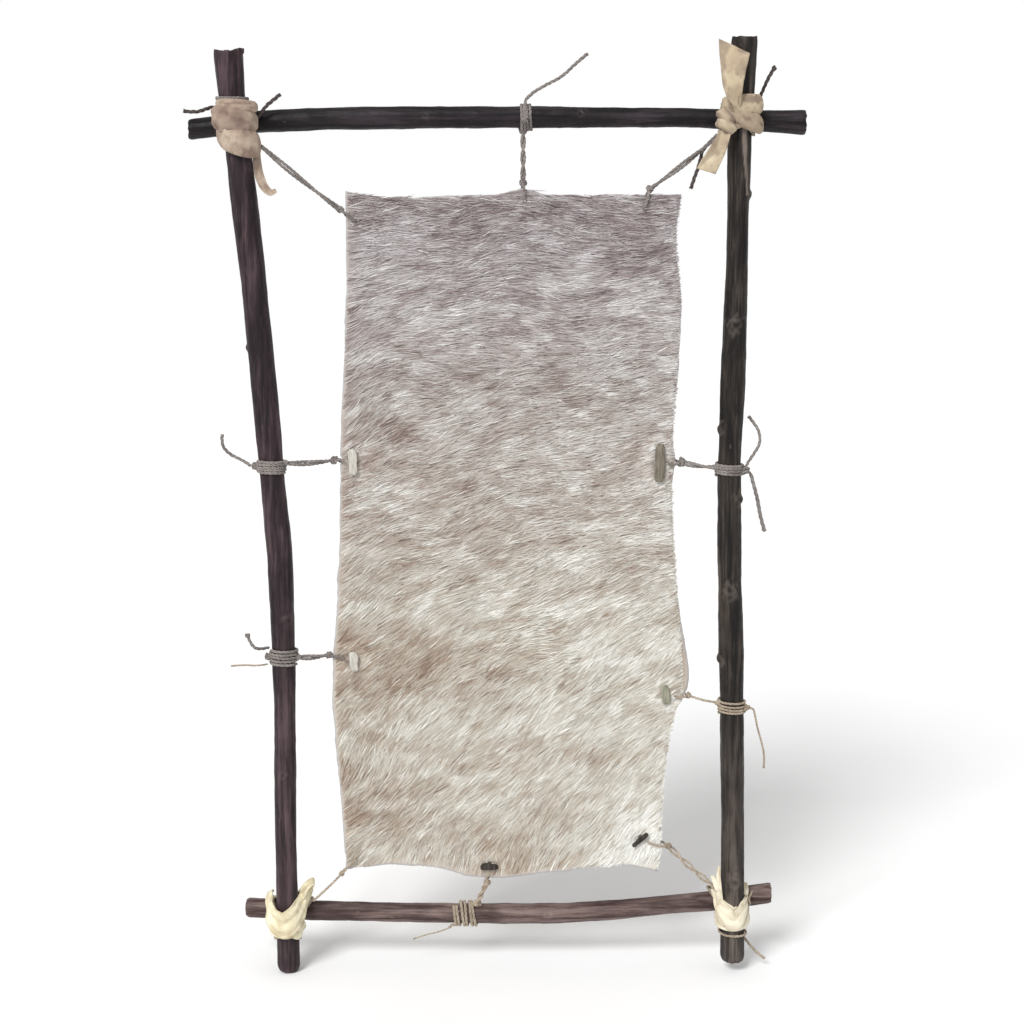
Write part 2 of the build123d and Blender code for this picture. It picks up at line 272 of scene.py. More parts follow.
def fuzz_arrays(line, diameter, rng, reach):
    """Points and triangles of fine loose fibres that stand out of twine."""
    normals, sides = carried_frames(line)
    step = np.linalg.norm(np.diff(line, axis=0), axis=1).mean()
    count = max(2, int(len(line) * step * FUZZ_PER_MM))
    at = rng.integers(1, len(line) - 1, count)
    out = swing(rng.uniform(0, 2 * PI, count), normals[at], sides[at])
    drift = unit(rng.normal(0, 1, (count, 3)))
    root = line[at] + out * diameter * 0.38
    tip = line[at] + out * (diameter * 0.45 + rng.uniform(0.2, reach, count)[:, None])
    tip += drift * reach * 0.35
    wide = np.cross(out, drift) * 0.09
    points = np.stack([root - wide, root + wide, tip], 1).reshape(-1, 3)
    return points, [np.arange(count * 3).reshape(-1, 3)]


def twine_piece(
    name, routes, diameter, material, seed, body="frame", replaces=(), fray=0.0, reach=FUZZ_REACH
):
    """One piece of twine from several routes, with its fuzz."""
    rng = np.random.default_rng(seed)
    parts = []
    for route in routes:
        points, quads, line = twine_arrays(route, diameter, rng, fray)
        parts.append((points, quads))
        parts.append(fuzz_arrays(line, diameter, rng, reach))
    return place(name, new_mesh(name, *joined(parts)), material, body, replaces)


def beside(route, gap, twist, phase=0.0):
    """Two strands running side by side along a route and turning slowly round each other."""
    line = curve_through(route, 2.0)
    offset = swing(phase + np.linspace(0, twist * 2 * PI, len(line)), *carried_frames(line))
    return [line + gap / 2 * offset, line - gap / 2 * offset]


def knot_route(centre, along, radius, seed):
    """A small overhand knot: a little over two turns and a loop across them."""
    rng = np.random.default_rng(seed)
    along = unit(along)
    across = unit(np.cross(along, [0.2, 1.0, 0.3]))
    third = np.cross(along, across)
    t = np.linspace(0, 1, 22)
    coil = radius * 0.75 * swing(2 * PI * 2.2 * t, across, third)
    coil += radius * 1.5 * (t - 0.5)[:, None] * along
    t = np.linspace(0.1, 1, 11)
    loop = radius * 0.85 * swing(2 * PI * 0.85 * t, along, across)
    loop += radius * (0.6 - 1.2 * t)[:, None] * third
    points = np.concatenate([coil, loop])
    return np.asarray(centre, float) + points + rng.normal(0, radius * 0.05, points.shape)


# ---------------------------------------------------------------- materials
def linear(red, green, blue):
    """A colour for Blender from an sRGB triple."""
    def channel(value):
        value = value / 255
        return value / 12.92 if value <= 0.04045 else ((value + 0.055) / 1.055) ** 2.4
    return (channel(red), channel(green), channel(blue), 1.0)


class Shader:
    """A node material that ends in a Principled surface."""

    def __init__(self, name):
        self.material = bpy.data.materials.new(name)
        self.material.use_nodes = True
        self.tree = self.material.node_tree
        self.tree.nodes.clear()
        self.surface = self.add("BsdfPrincipled")
        output = self.add("OutputMaterial")
        self.tree.links.new(self.surface.outputs[0], output.inputs[0])
        self.coords = self.add("TexCoord").outputs["Object"]

    def add(self, kind, inputs=None, **settings):
        node = self.tree.nodes.new("ShaderNode" + kind)
        for key, value in settings.items():
            setattr(node, key, value)
        for key, value in (inputs or {}).items():
            self.put(node.inputs[key], value)
        return node

    def put(self, socket, value):
        """Links a node's output to a socket, or sets the socket, with a triple for a colour."""
        if isinstance(value, bpy.types.NodeSocket):
            self.tree.links.new(value, socket)
        elif socket.type == "RGBA":
            socket.default_value = linear(*value)
        else:
            socket.default_value = value

    def scaled(self, stretch):
        return self.add("Mapping", {"Vector": self.coords, "Scale": stretch}).outputs[0]

    def height(self):
        return self.add("SeparateXYZ", {0: self.coords}).outputs["Z"]

    def noise(self, stretch, scale, detail=3.0, rough=0.55):
        made = self.add(
            "TexNoise",
            {"Vector": self.scaled(stretch), "Scale": scale, "Detail": detail, "Roughness": rough},
        )
        return made.outputs[0]

    def bands(self, scale, distortion, direction="X"):
        made = self.add(
            "TexWave",
            {"Vector": self.scaled(EVEN), "Scale": scale, "Distortion": distortion},
            bands_direction=direction,
        )
        return made.outputs["Fac"]

    def attribute(self, name):
        return self.add("Attribute", attribute_name=name).outputs["Fac"]

    def ramp(self, value, *stops):
        """A colour that runs through stops of position and colour."""
        node = self.add("ValToRGB", {0: value})
        ramp = node.color_ramp
        while len(ramp.elements) < len(stops):
            ramp.elements.new(0.5)
        for element, (position, colour) in zip(ramp.elements, stops):
            element.position = position
            element.color = linear(*colour)
        return node.outputs[0]

    def mix(self, share, first, second):
        node = self.add("Mix", data_type="RGBA")
        self.put(node.inputs[0], share)
        self.put(node.inputs[6], first)
        self.put(node.inputs[7], second)
        return node.outputs[2]

    def math(self, operation, first, second=0.0):
        return self.add("Math", {0: first, 1: second}, operation=operation).outputs[0]

    def span(self, value, low, high, to_low=0.0, to_high=1.0):
        """A value brought from low..high to to_low..to_high, held at the ends."""
        node = self.add("MapRange", {0: value, 1: low, 2: high, 3: to_low, 4: to_high})
        return node.outputs[0]

    def finish(self, colour, height=None, bump=0.0002, rough=0.7, specular=0.3):
        """Ends the material with a colour and, from a height, a relief bump metres deep."""
        self.put(self.surface.inputs["Base Color"], colour)
        self.put(self.surface.inputs["Roughness"], rough)
        self.surface.inputs["Specular IOR Level"].default_value = specular
        if height is not None:
            relief = self.add("Bump", {"Height": height, "Distance": bump, "Strength": 1.0})
            self.put(self.surface.inputs["Normal"], relief.outputs["Normal"])
        return self.material


EVEN = [1, 1, 1]           # a pattern with no stretch
FADE_LOW = -0.50           # between these heights, in metres, the coat turns from warm to cool
FADE_HIGH = -0.12


def bark_material(name, axis, dark, mid, light, streak):
    """Bark with fine lengthwise wrinkles, pale pores and weathered streaks along the stick, and on the
    right upright a painted highlight stripe among the streaks.
    """
    shader = Shader(name)
    grain = [1.0, 1.0, 1.0]
    grain[axis] = 0.07
    pores = [1.0, 1.0, 1.0]
    pores[axis] = 0.55
    tone = shader.noise(grain, 170, 5, 0.65)
    patches = shader.noise([0.6, 0.6, 0.6], 26, 3)
    colour = shader.ramp(tone, (0.39, dark), (0.50, mid), (0.61, light))
    colour = shader.mix(shader.span(patches, 0.42, 0.62, 0, 0.7), colour, dark)
    furrows = shader.noise(grain, 430, 3, 0.6)
    colour = shader.mix(shader.span(furrows, 0.40, 0.30, 0, 0.7), colour, dark)
    colour = shader.mix(shader.span(furrows, 0.60, 0.72, 0, 0.45), colour, light)
    spots = shader.add("TexVoronoi", {"Vector": shader.scaled(pores), "Scale": 62})
    dots = shader.span(spots.outputs["Distance"], 0.10, 0.06)
    colour = shader.mix(shader.math("MULTIPLY", dots, 0.16), colour, streak)
    lines = shader.span(shader.noise(grain, 260, 2), 0.38, 0.60, 0.15, 1)
    # the worn marks are real weathering, plus a painted highlight stripe on the right upright
    worn_and_highlight = shader.math("MULTIPLY", shader.attribute("worn_and_highlight"), lines)
    colour = shader.mix(worn_and_highlight, colour, streak)
    colour = shader.mix(shader.attribute("knot"), colour, streak)
    colour = shader.mix(shader.attribute("dark"), colour, (22, 17, 18))
    relief = shader.math("ADD", shader.noise(grain, 300, 4, 0.65), dots)
    rough = shader.span(shader.noise(EVEN, 90, 2), 0.3, 0.7, 0.42, 0.62)
    return shader.finish(colour, relief, 0.0005, rough, 0.22)


def cut_wood_material(name, pale, brown):
    """A sawn end with faint rings, dirty in patches."""
    shader = Shader(name)
    colour = shader.mix(shader.span(shader.bands(260, 5), 0, 1, 0.1, 0.7), pale, brown)
    dirt = shader.noise(EVEN, 320, 4)
    colour = shader.mix(shader.span(dirt, 0.45, 0.7, 0, 0.8), colour, (48, 38, 36))
    return shader.finish(colour, dirt, 0.0003, 0.85, 0.2)


def twine_material(name, dark, mid, light):
    """Hairy jute, darker in patches."""
    shader = Shader(name)
    fibres = shader.noise(EVEN, 900, 3, 0.6)
    patches = shader.noise(EVEN, 70, 2)
    colour = shader.ramp(fibres, (0.28, dark), (0.5, mid), (0.72, light))
    colour = shader.mix(shader.span(patches, 0.45, 0.7, 0, 0.55), colour, dark)
    return shader.finish(colour, fibres, 0.0003, 0.9, 0.15)


def cloth_material(name, shade, mid, light, stain_and_crease_shade):
    """Thin cream cotton with a plain weave, dirty in patches, with painted shade in the creases of its
    pleats and more dirt on some turns.
    """
    shader = Shader(name)
    patches = shader.noise(EVEN, 45, 3)
    colour = shader.ramp(patches, (0.30, shade), (0.5, mid), (0.68, light))
    dirt = shader.noise([1.3, 1, 0.8], 95, 4, 0.65)
    colour = shader.mix(shader.span(dirt, 0.54, 0.76, 0, 0.75), colour, stain_and_crease_shade)
    weave = shader.math("MAXIMUM", shader.bands(520, 1.5), shader.bands(520, 1.5, "Z"))
    colour = shader.mix(shader.span(weave, 0, 1, 0.12, 0), colour, shade)
    # painted shade in the creases of the pleats, plus dirt added to some turns
    colour = shader.mix(shader.attribute("crease_shade_and_dirt"), colour, stain_and_crease_shade)
    return shader.finish(colour, weave, 0.00012, 0.92, 0.15)


def hair_material(name, fineness):
    """Hair whose tone runs from brown to off-white, greyer and cooler towards the top."""
    shader = Shader(name)
    tone = shader.attribute("tone")
    fine = shader.noise(EVEN, fineness, 2)
    tone = shader.math("ADD", tone, shader.span(fine, 0.3, 0.7, -0.05, 0.05))
    warm = shader.ramp(
        tone, (0.0, (118, 94, 79)), (0.28, (164, 144, 127)), (0.55, (192, 182, 168)),
        (0.8, (215, 211, 201)), (1.0, (237, 236, 230)),
    )
    cool = shader.ramp(
        tone, (0.0, (96, 80, 80)), (0.28, (138, 124, 124)), (0.55, (176, 168, 168)),
        (0.8, (202, 198, 197)), (1.0, (226, 225, 224)),
    )
    colour = shader.mix(shader.span(shader.height(), FADE_LOW, FADE_HIGH), warm, cool)
    shine = shader.span(tone, 0, 1, 0.62, 0.5)
    return shader.finish(colour, rough=shine, specular=0.25)


def skin_material():
    """Short pale hair roots on the front, suede on the back, cut edge pale grey."""
    shader = Shader("hide_skin")
    blotches = shader.noise(EVEN, 26, 4)
    suede = shader.ramp(
        blotches, (0.3, (186, 170, 149)), (0.5, (198, 183, 162)), (0.7, (209, 197, 177))
    )
    root = shader.ramp(
        blotches, (0.3, (170, 155, 142)), (0.5, (188, 178, 166)), (0.7, (204, 197, 187))
    )
    fine = shader.noise(EVEN, 700, 3)
    cool = shader.mix(0.6, root, (150, 140, 140))
    root = shader.mix(shader.span(shader.height(), FADE_LOW, FADE_HIGH), root, cool)
    root = shader.mix(shader.attribute("clean"), root, (228, 226, 219))
    colour = shader.mix(shader.attribute("front"), suede, root)
    colour = shader.mix(shader.span(fine, 0.4, 0.7, 0, 0.25), colour, (150, 136, 122))
    colour = shader.mix(shader.attribute("edge"), colour, (186, 184, 184))
    return shader.finish(colour, fine, 0.0004, 0.9, 0.15)


def toggle_material(name, dark, mid, light):
    """Whittled wood with an upright grain."""
    shader = Shader(name)
    grain = shader.noise([1, 1, 0.12], 480, 4, 0.6)
    colour = shader.ramp(grain, (0.3, dark), (0.5, mid), (0.7, light))
    return shader.finish(colour, grain, 0.0004, 0.8, 0.2)


BARK_TONES = {
    "left_upright": ((27, 19, 23), (51, 38, 42), (79, 63, 68), (108, 88, 87)),
    "right_upright": ((16, 13, 12), (35, 30, 27), (66, 58, 52), (130, 118, 110)),
    "top_rail": ((13, 9, 12), (26, 20, 24), (50, 42, 47), (90, 78, 82)),
    "bottom_rail": ((58, 43, 41), (94, 77, 74), (126, 108, 103), (158, 140, 132)),
}


# ---------------------------------------------------------------- poles
POLE_RINGS = 440
POLE_SIDES = 56
SEARCH_OUT = 60            # rays towards a pole start this far outside its box


class Pole:
    """The shape of a pole read off its CAD node: a centre line and a radius at each angle."""

    def __init__(self, name):
        self.name = name
        self.low, self.high = box_mm(name)
        self.axis = 2 if "upright" in name else 0
        self.cross = 2 - self.axis
        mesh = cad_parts[name].data
        corners = [vertex.co.copy() for vertex in mesh.vertices]
        self.tree = BVHTree.FromPolygons(corners, [list(face.vertices) for face in mesh.polygons])
        inset = 0.4
        self.along = np.linspace(self.low[self.axis] + inset, self.high[self.axis] - inset, POLE_RINGS)
        self.centres = self.read_centres()
        self.angles = round_turns(POLE_SIDES)
        self.directions = np.array([self.direction(angle) for angle in self.angles])
        self.radii = self.read_radii()

    def hit(self, start, direction):
        found = self.tree.ray_cast(Vector(start) * MM, Vector(direction))[0]
        return np.array(found) / MM

    def middle(self, centre, side):
        """Halfway between the pole's two surfaces on a line through centre."""
        ends = []
        for sign in (-1, 1):
            start = centre.copy()
            start[side] = (self.low if sign < 0 else self.high)[side] + sign * SEARCH_OUT
            direction = np.zeros(3)
            direction[side] = -sign
            ends.append(self.hit(start, direction)[side])
        return sum(ends) / 2

    def read_centres(self):
        centres = np.zeros((POLE_RINGS, 3))
        for i, along in enumerate(self.along):
            centre = (self.low + self.high) / 2
            centre[self.axis] = along
            for side in (self.cross, 1):
                centre[side] = self.middle(centre, side)
            centres[i] = centre
        window = 13
        padded = np.pad(centres, ((window, window), (0, 0)), mode="edge")
        smooth = np.stack([np.median(padded[i:i + 2 * window + 1], 0) for i in range(POLE_RINGS)])
        smooth[:, self.axis] = self.along
        return smooth

    def direction(self, angle):
        """Unit vector square to the pole: 0 is +X or +Z, 90 degrees points to the front."""
        out = np.zeros(3)
        out[self.cross] = math.cos(angle)
        out[1] = -math.sin(angle)
        return out

    def read_radii(self):
        radii = np.zeros((POLE_RINGS, POLE_SIDES))
        for i, centre in enumerate(self.centres):
            for j, out in enumerate(self.directions):
                radii[i, j] = np.linalg.norm(self.hit(centre, out) - centre)
        return radii

    def turn_from(self, degrees):
        """How far each angle is from one, in radians from -pi to pi."""
        return np.angle(np.exp(1j * (self.angles - math.radians(degrees))))

    def centre_at(self, along):
        return np.array([np.interp(along, self.along, self.centres[:, k]) for k in range(3)])

    def radius_at(self, along):
        return float(np.interp(along, self.along, np.median(self.radii, axis=1)))

    def on_bark(self, along, angle, lift):
        """A point that stands lift above the bark."""
        return self.centre_at(along) + self.direction(angle) * (self.radius_at(along) + lift)


def bark_relief(pole, seed):
    """Height of the bark's wrinkles, rings and swellings over the smooth stick."""
    rng = np.random.default_rng(seed)
    along = pole.along[:, None]
    turn = pole.angles[None, :]
    relief = np.zeros((POLE_RINGS, POLE_SIDES))
    for waves in (2, 3, 5, 7, 9, 12):
        drift = np.cumsum(rng.normal(0, 0.05, POLE_RINGS))[:, None]
        relief += 0.30 / waves**0.75 * np.sin(waves * (turn + drift) + rng.uniform(0, 6))
    for size, height in ((70, 0.45), (24, 0.25), (9, 0.12)):
        swell = field(pole.along, pole.along * 0, size, int(rng.integers(1e6)))
        relief += height * swell[:, None]
    around_x = np.cos(turn) * BARK_GIRTH + along * 0.05
    around_y = np.sin(turn) * BARK_GIRTH + along * 0.05
    return relief + 0.16 * field(around_x, around_y, 4, seed)


# Healed branch stubs: place along the pole, angle in degrees, size.
STUBS = {
    "left_upright": [(-480, 60, 5), (-210, 200, 5), (-640, 95, 4)],
    "right_upright": [
        (-63, 20, 6), (-187, 95, 7), (-291, 165, 6), (-360, 30, 7), (-450, 95, 6), (-521, 170, 6),
        (-753, 88, 6),
    ],
    "top_rail": [(92, 60, 4), (-60, 80, 3)],
    "bottom_rail": [(-120, 230, 4), (60, 75, 3)],
}


def stub_marks(pole):
    """How near each point is to a healed branch stub, and the dark eye in its middle."""
    mark = np.zeros((POLE_RINGS, POLE_SIDES))
    eye = np.zeros((POLE_RINGS, POLE_SIDES))
    for along, angle, size in STUBS[pole.name]:
        around = pole.turn_from(angle)[None, :] * BARK_GIRTH
        away = np.hypot(pole.along[:, None] - along, around)
        ragged = 1 + 0.5 * field(around, pole.along[:, None], 3.5, 1000 + along)
        away = away * np.clip(ragged, 0.6, 1.6)
        mark = np.maximum(mark, 0.26 * near(away, size * 0.75, size * 0.40))
        eye = np.maximum(eye, 0.6 * near(away, 0, size * 0.36))
    return mark, eye


def wear_and_highlight_marks(pole):
    """Pale weathered streaks, a tapering crack near the right upright's top and a painted highlight
    stripe above it.
    """
    along = pole.along[:, None]
    turn = pole.angles[None, :]
    worn_and_highlight = 0.10 * np.clip(field(turn * BARK_GIRTH, along * 0.10, 3.0, 31), 0, 1)
    if pole.name == "right_upright":
        down = np.clip(-along / 62, 0, 1)
        middle = np.radians(77 - 27 * down)
        half = 0.30 - 0.18 * down
        crack = np.clip((half - np.abs(turn - middle)) / 0.06, 0, 1) * (along > -64) * (along < 8)
        # painted highlight: a pale stripe on the front right of the right upright above the crack
        second = near(turn, math.radians(48), 0.14) * near(along, 58, 36)
        low = near(turn, math.radians(100), 0.75) * np.clip((-540 - along) / 260, 0, 1)
        worn_and_highlight = np.maximum.reduce([worn_and_highlight, 0.8 * crack, 0.6 * second, 0.55 * low])
    if pole.name == "left_upright":
        low = near(turn, math.radians(80), 0.5) * np.clip((-430 - along) / 200, 0, 1)
        worn_and_highlight = np.maximum(worn_and_highlight, 0.25 * low)
    return np.clip(worn_and_highlight, 0, 1)


def is_broken(pole, at_high):
    """The left upright's top is snapped off and the other ends are sawn."""
    return pole.name == "left_upright" and at_high


def end_profile(pole, at_high, rng):
    """How far each angle of a cut end stands proud or short."""
    rough = rng.normal(0, 0.35, POLE_SIDES)
    rough = (rough + np.roll(rough, 1) + np.roll(rough, -1)) / 2
    if is_broken(pole, at_high):
        rough += 0.9 * np.sin(pole.angles * 2 + 1) + rng.normal(0, 0.7, POLE_SIDES)
    return rough


HIGH_END_ROUNDING = 0.6


def shape_end(pole, rings, at_high, rounding, rng):
    """Rounds and roughens the last three rings at one end, and splays a broken end's lip."""
    rough = end_profile(pole, at_high, rng)
    inward = -1 if at_high else 1
    for k, share in ((0, 1.0), (1, 0.6), (2, 0.25)):
        row = (POLE_RINGS - 1 if at_high else 0) + inward * k
        shrink = 1 - rounding * 0.10 * (1 - k / 3) ** 2
        rings[row] = pole.centres[row] + (rings[row] - pole.centres[row]) * shrink
        rings[row][:, pole.axis] -= inward * share * rough
    if is_broken(pole, at_high):
        lip = near(pole.turn_from(15), 0, 0.35)
        rings[-1] += pole.directions * (3.0 * lip)[:, None]
        rings[-2] += pole.directions * (2.3 * lip)[:, None]


def end_cap(pole, name, rim, seed):
    """The sawn wood inside the last ring of bark."""
    middle = rim.mean(0)
    levels = []
    for share in (1.0, 0.8, 0.55, 0.3, 0.1):
        level = middle + (rim - middle) * share
        bumps = 0.35 * field(level[:, pole.cross], level[:, 1], 3, seed)
        level[:, pole.axis] += (bumps - 0.2) * (share < 1)
        levels.append(level)
    hub = len(levels) * POLE_SIDES
    last = hub - POLE_SIDES
    j = np.arange(POLE_SIDES)
    fan = np.stack([last + j, last + (j + 1) % POLE_SIDES, np.full(POLE_SIDES, hub)], -1)
    points = np.concatenate([*levels, middle[None, :]])
    return new_mesh(name, points, [tube_quads(len(levels), POLE_SIDES), fan])


def pole_piece(name, seed, low_end_rounding):
    """The bark of one pole and its two cut ends."""
    pole = Pole(name)
    rng = np.random.default_rng(seed)
    mark, eye = stub_marks(pole)
    radii = pole.radii + bark_relief(pole, seed) + 0.5 * mark - 0.6 * eye
    rings = pole.centres[:, None, :] + radii[:, :, None] * pole.directions[None, :, :]
    shape_end(pole, rings, False, low_end_rounding, rng)
    shape_end(pole, rings, True, HIGH_END_ROUNDING, rng)
    quads = tube_quads(POLE_RINGS, POLE_SIDES)
    mesh = new_mesh(name, rings.reshape(-1, 3), [quads if pole.axis == 0 else quads[:, ::-1]])
    paint(mesh, "knot", mark)
    paint(mesh, "dark", eye)
    paint(mesh, "worn_and_highlight", wear_and_highlight_marks(pole))
    material = bark_material(name + "_bark", pole.axis, *BARK_TONES[name])
    place(name + "_bark", mesh, material, replaces=(name,))
    wood = cut_wood_material(name + "_wood", (84, 72, 66), (52, 43, 40))
    for end, rim in (("low", rings[0]), ("high", rings[-1])):
        cap_name = f"{name}_{end}_end"
        place(cap_name, end_cap(pole, cap_name, rim, seed + 5), wood)
    return pole


left = pole_piece("left_upright", 11, 1.6)
right = pole_piece("right_upright", 12, 1.6)
top = pole_piece("top_rail", 13, 0.8)
bottom = pole_piece("bottom_rail", 14, 2.0)


# ---------------------------------------------------------------- free twine ends
GREY_TWINE = twine_material("twine_grey", (92, 84, 81), (136, 129, 125), (172, 166, 160))
TAN_TWINE = twine_material("twine_tan", (122, 108, 94), (172, 158, 140), (208, 196, 178))
DARK_TWINE = twine_material("twine_dark", (50, 44, 43), (82, 74, 72), (112, 103, 99))

# How much fluffier each twine looks than its nominal diameter.
FATNESS = {"twine_grey": 1.2, "twine_tan": 1.0, "twine_dark": 1.35}

# Name, diameter (mm), route in metres from the knot to the cut end, twine, far end.
TAILS = (
    ("tail_top_left_side", 2.8, DARK_TWINE, "bare", (
        (-0.2645, -0.007, 0.020), (-0.270, -0.015, 0.0175), (-0.281, -0.017, 0.014),
        (-0.292, -0.015, 0.016))),
    ("tail_top_left_up", 2.8, DARK_TWINE, "bare", (
        (-0.2205, -0.019, 0.009), (-0.2145, -0.0175, 0.018), (-0.2065, -0.0185, 0.025),
        (-0.198, -0.0165, 0.0315))),
    ("tail_top_right_up", 2.8, DARK_TWINE, "knot", (
        (0.2605, -0.012, 0.027), (0.264, -0.0135, 0.037), (0.2685, -0.0145, 0.047),
        (0.274, -0.013, 0.056))),
    ("tail_top_right_down", 2.8, DARK_TWINE, "bare", (
        (0.206, -0.014, -0.024), (0.2035, -0.0165, -0.035), (0.199, -0.0175, -0.0465),
        (0.1955, -0.016, -0.058))),
    ("tail_top_centre", 2.8, GREY_TWINE, "bare", (
        (0.036, -0.008, 0.0265), (0.044, -0.0095, 0.034), (0.057, -0.0075, 0.041),
        (0.072, -0.0085, 0.0485), (0.084, -0.0065, 0.0605), (0.096, -0.008, 0.070))),
    ("tail_left_upper", 2.8, GREY_TWINE, "bare", (
        (-0.2335, -0.024, -0.327), (-0.241, -0.022, -0.322), (-0.250, -0.020, -0.3185),
        (-0.258, -0.021, -0.313), (-0.263, -0.0195, -0.305), (-0.2615, -0.0205, -0.296))),
    ("tail_left_lower_knotted", 2.8, GREY_TWINE, "knot", (
        (-0.221, -0.011, -0.5135), (-0.230, -0.018, -0.5145), (-0.238, -0.0215, -0.5095),
        (-0.2415, -0.020, -0.499))),
    ("tail_left_lower_frayed", 2.0, TAN_TWINE, "bare", (
        (-0.222, -0.018, -0.529), (-0.232, -0.0205, -0.5305), (-0.246, -0.019, -0.5295),
        (-0.259, -0.0205, -0.5305))),
    ("tail_right_upper_curl", 2.8, GREY_TWINE, "bare", (
        (0.257, -0.020, -0.322), (0.2625, -0.0185, -0.3145), (0.267, -0.020, -0.306),
        (0.2675, -0.0175, -0.2965), (0.263, -0.0145, -0.287), (0.256, -0.012, -0.279))),
    ("tail_right_upper_hanging", 3.4, GREY_TWINE, "bare", (
        (0.2585, -0.022, -0.335), (0.2625, -0.0235, -0.349), (0.2665, -0.0215, -0.364),
        (0.269, -0.023, -0.379), (0.2735, -0.022, -0.393))),
    ("tail_right_lower", 2.2, TAN_TWINE, "bare", (
        (0.266, -0.0245, -0.574), (0.2685, -0.023, -0.584), (0.271, -0.0215, -0.596),
        (0.2755, -0.020, -0.610), (0.2785, -0.0215, -0.624), (0.278, -0.0205, -0.637))),
    ("tail_bottom_centre", 1.6, TAN_TWINE, "bare", (
        (-0.042, -0.008, -0.8125), (-0.053, -0.0095, -0.8165), (-0.066, -0.008, -0.8195),
        (-0.079, -0.0095, -0.824))),
    ("tail_bottom_right", 2.8, TAN_TWINE, "bare", (
        (0.262, -0.012, -0.820), (0.269, -0.014, -0.829), (0.276, -0.0125, -0.8375),
        (0.2845, -0.014, -0.8435))),
)


def nurbs_points(name, route):
    """The points, in metres, of a smooth NURBS drawn from the route as its control polygon."""
    data = bpy.data.curves.new(name + "_line", "CURVE")
    data.dimensions = "3D"
    spline = data.splines.new("NURBS")
    spline.points.add(len(route) - 1)
    for point, where in zip(spline.points, route):
        point.co = (*where, 1.0)
    spline.order_u = 3
    spline.use_endpoint_u = True
    spline.resolution_u = 24
    holder = bpy.data.objects.new(name + "_line", data)
    bpy.context.scene.collection.objects.link(holder)
    bpy.context.view_layer.update()
    mesh = bpy.data.meshes.new_from_object(holder)
    points = np.array([vertex.co for vertex in mesh.vertices])
    bpy.data.meshes.remove(mesh)
    bpy.data.objects.remove(holder)
    return points


STOPPER_R = 2.0            # a knot at the end of a free end, and the twine it is made of
STOPPER_TWINE = 1.9
OPEN_END = 0.4             # how far the plies of a cut end open


def tail_piece(name, diameter, twine, far_end, route, number):
    """One free end of twine and any knot at its tip."""
    line = nurbs_points(name, route)
    fray = OPEN_END if far_end == "bare" else 0.0
    tail = twine_piece(
        name + "_twine", [line / MM], diameter * FATNESS[twine.name], twine, 100 + number,
        replaces=(name,), fray=fray,
    )
    if far_end == "knot":
        stopper = knot_route(line[-1] / MM, line[-1] - line[-4], STOPPER_R, 140 + number)
        twine_piece(name + "_knot", [stopper], STOPPER_TWINE, twine, 150 + number)


for number, (name, diameter, twine, far_end, route) in enumerate(TAILS):
    tail_piece(name, diameter, twine, far_end, route, number)


# ---------------------------------------------------------------- ties
EXITS = {name: np.array(route[0]) / MM for name, _, _, _, route in TAILS}


def wraps(pole, start, end, turns, first_angle, seed):
    """A helix of twine round a pole between two places along it."""
    rng = np.random.default_rng(seed)
    count = int(turns * 26)
    stray = 0.35 * field(np.arange(count), np.zeros(count), 9, seed)
    points = []
    for i, share in enumerate(np.linspace(0, 1, count)):
        along = start + (end - start) * share + stray[i]
        angle = math.radians(first_angle) + 2 * PI * turns * share
        points.append(pole.on_bark(along, angle, HUG + TWINE_R + rng.uniform(0, 0.12)))
    return np.array(points)


def taut(start, end, sag):
    """A tight run of twine that gives a little in the middle."""
    start = np.asarray(start, float)
    shares = np.linspace(0, 1, 6)[:, None]
    line = start + (np.asarray(end, float) - start) * shares
    line[:, 2] -= sag * np.sin(PI * shares[:, 0])
    return line


def edge_strands(knot, hole, reach=0.0, spread=1.2):
    """The loop of twine from a knot over the hide's edge to its hole, in front and behind.
    With a reach it stops that far short of the hole, where a toggle holds it."""
    knot = np.array([knot[0], HIDE_Y, knot[-1]], float)
    hole = np.array([hole[0], HIDE_Y, hole[1]], float)
    run = unit(hole - knot)
    side = np.array([-run[2], 0, run[0]])
    stop = hole - run * reach
    ways = []
    for depth, sign in ((FRONT_Y, 1), (BACK_Y, -1)):
        out = np.array([0, depth - HIDE_Y, 0])
        apart = side * spread * sign
        way = [knot + run * 0.5, knot + run * 2.2 + out * 0.75]
        way += [(knot + stop) / 2 + out + apart, stop + out + apart * 0.3]
        if not reach:
            way.append(hole + out * 0.45 + side * 0.5 * sign)
        ways.append(np.array(way))
    return ways


def root(name, *points):
    """A short run of twine through points to where a free end leaves its knot."""
    return curve_through([*points, EXITS[name]], 1.5)


HOLES = {
    "top_left": (-129, -89), "top_centre": (34, -68), "top_right": (150, -76),
    "left_upper": (-134, -324), "left_lower": (-136, -527), "right_upper": (169, -325),
    "right_lower": (178, -561), "bottom_left": (-136, -734), "bottom_centre": (0, -743),
    "bottom_right": (154, -714),
}
TOGGLE_REACH = 7.8
KNOT_LIFT = HUG + 3.2      # knots, and the second layer of twine, over the bark
RUN_LIFT = HUG + 2.4


def toward(start, end):
    return np.asarray(end, float) - np.asarray(start, float)


def tie_top_left():
    start = (-222, -24, -13)
    knot = (-143, HIDE_Y, -78)
    routes = beside(taut(start, knot, 1.5), 3.2, 0.7, 0.9)
    routes.append(knot_route(knot, toward(start, knot), 3.0, 21))
    return routes + edge_strands(knot, HOLES["top_left"])


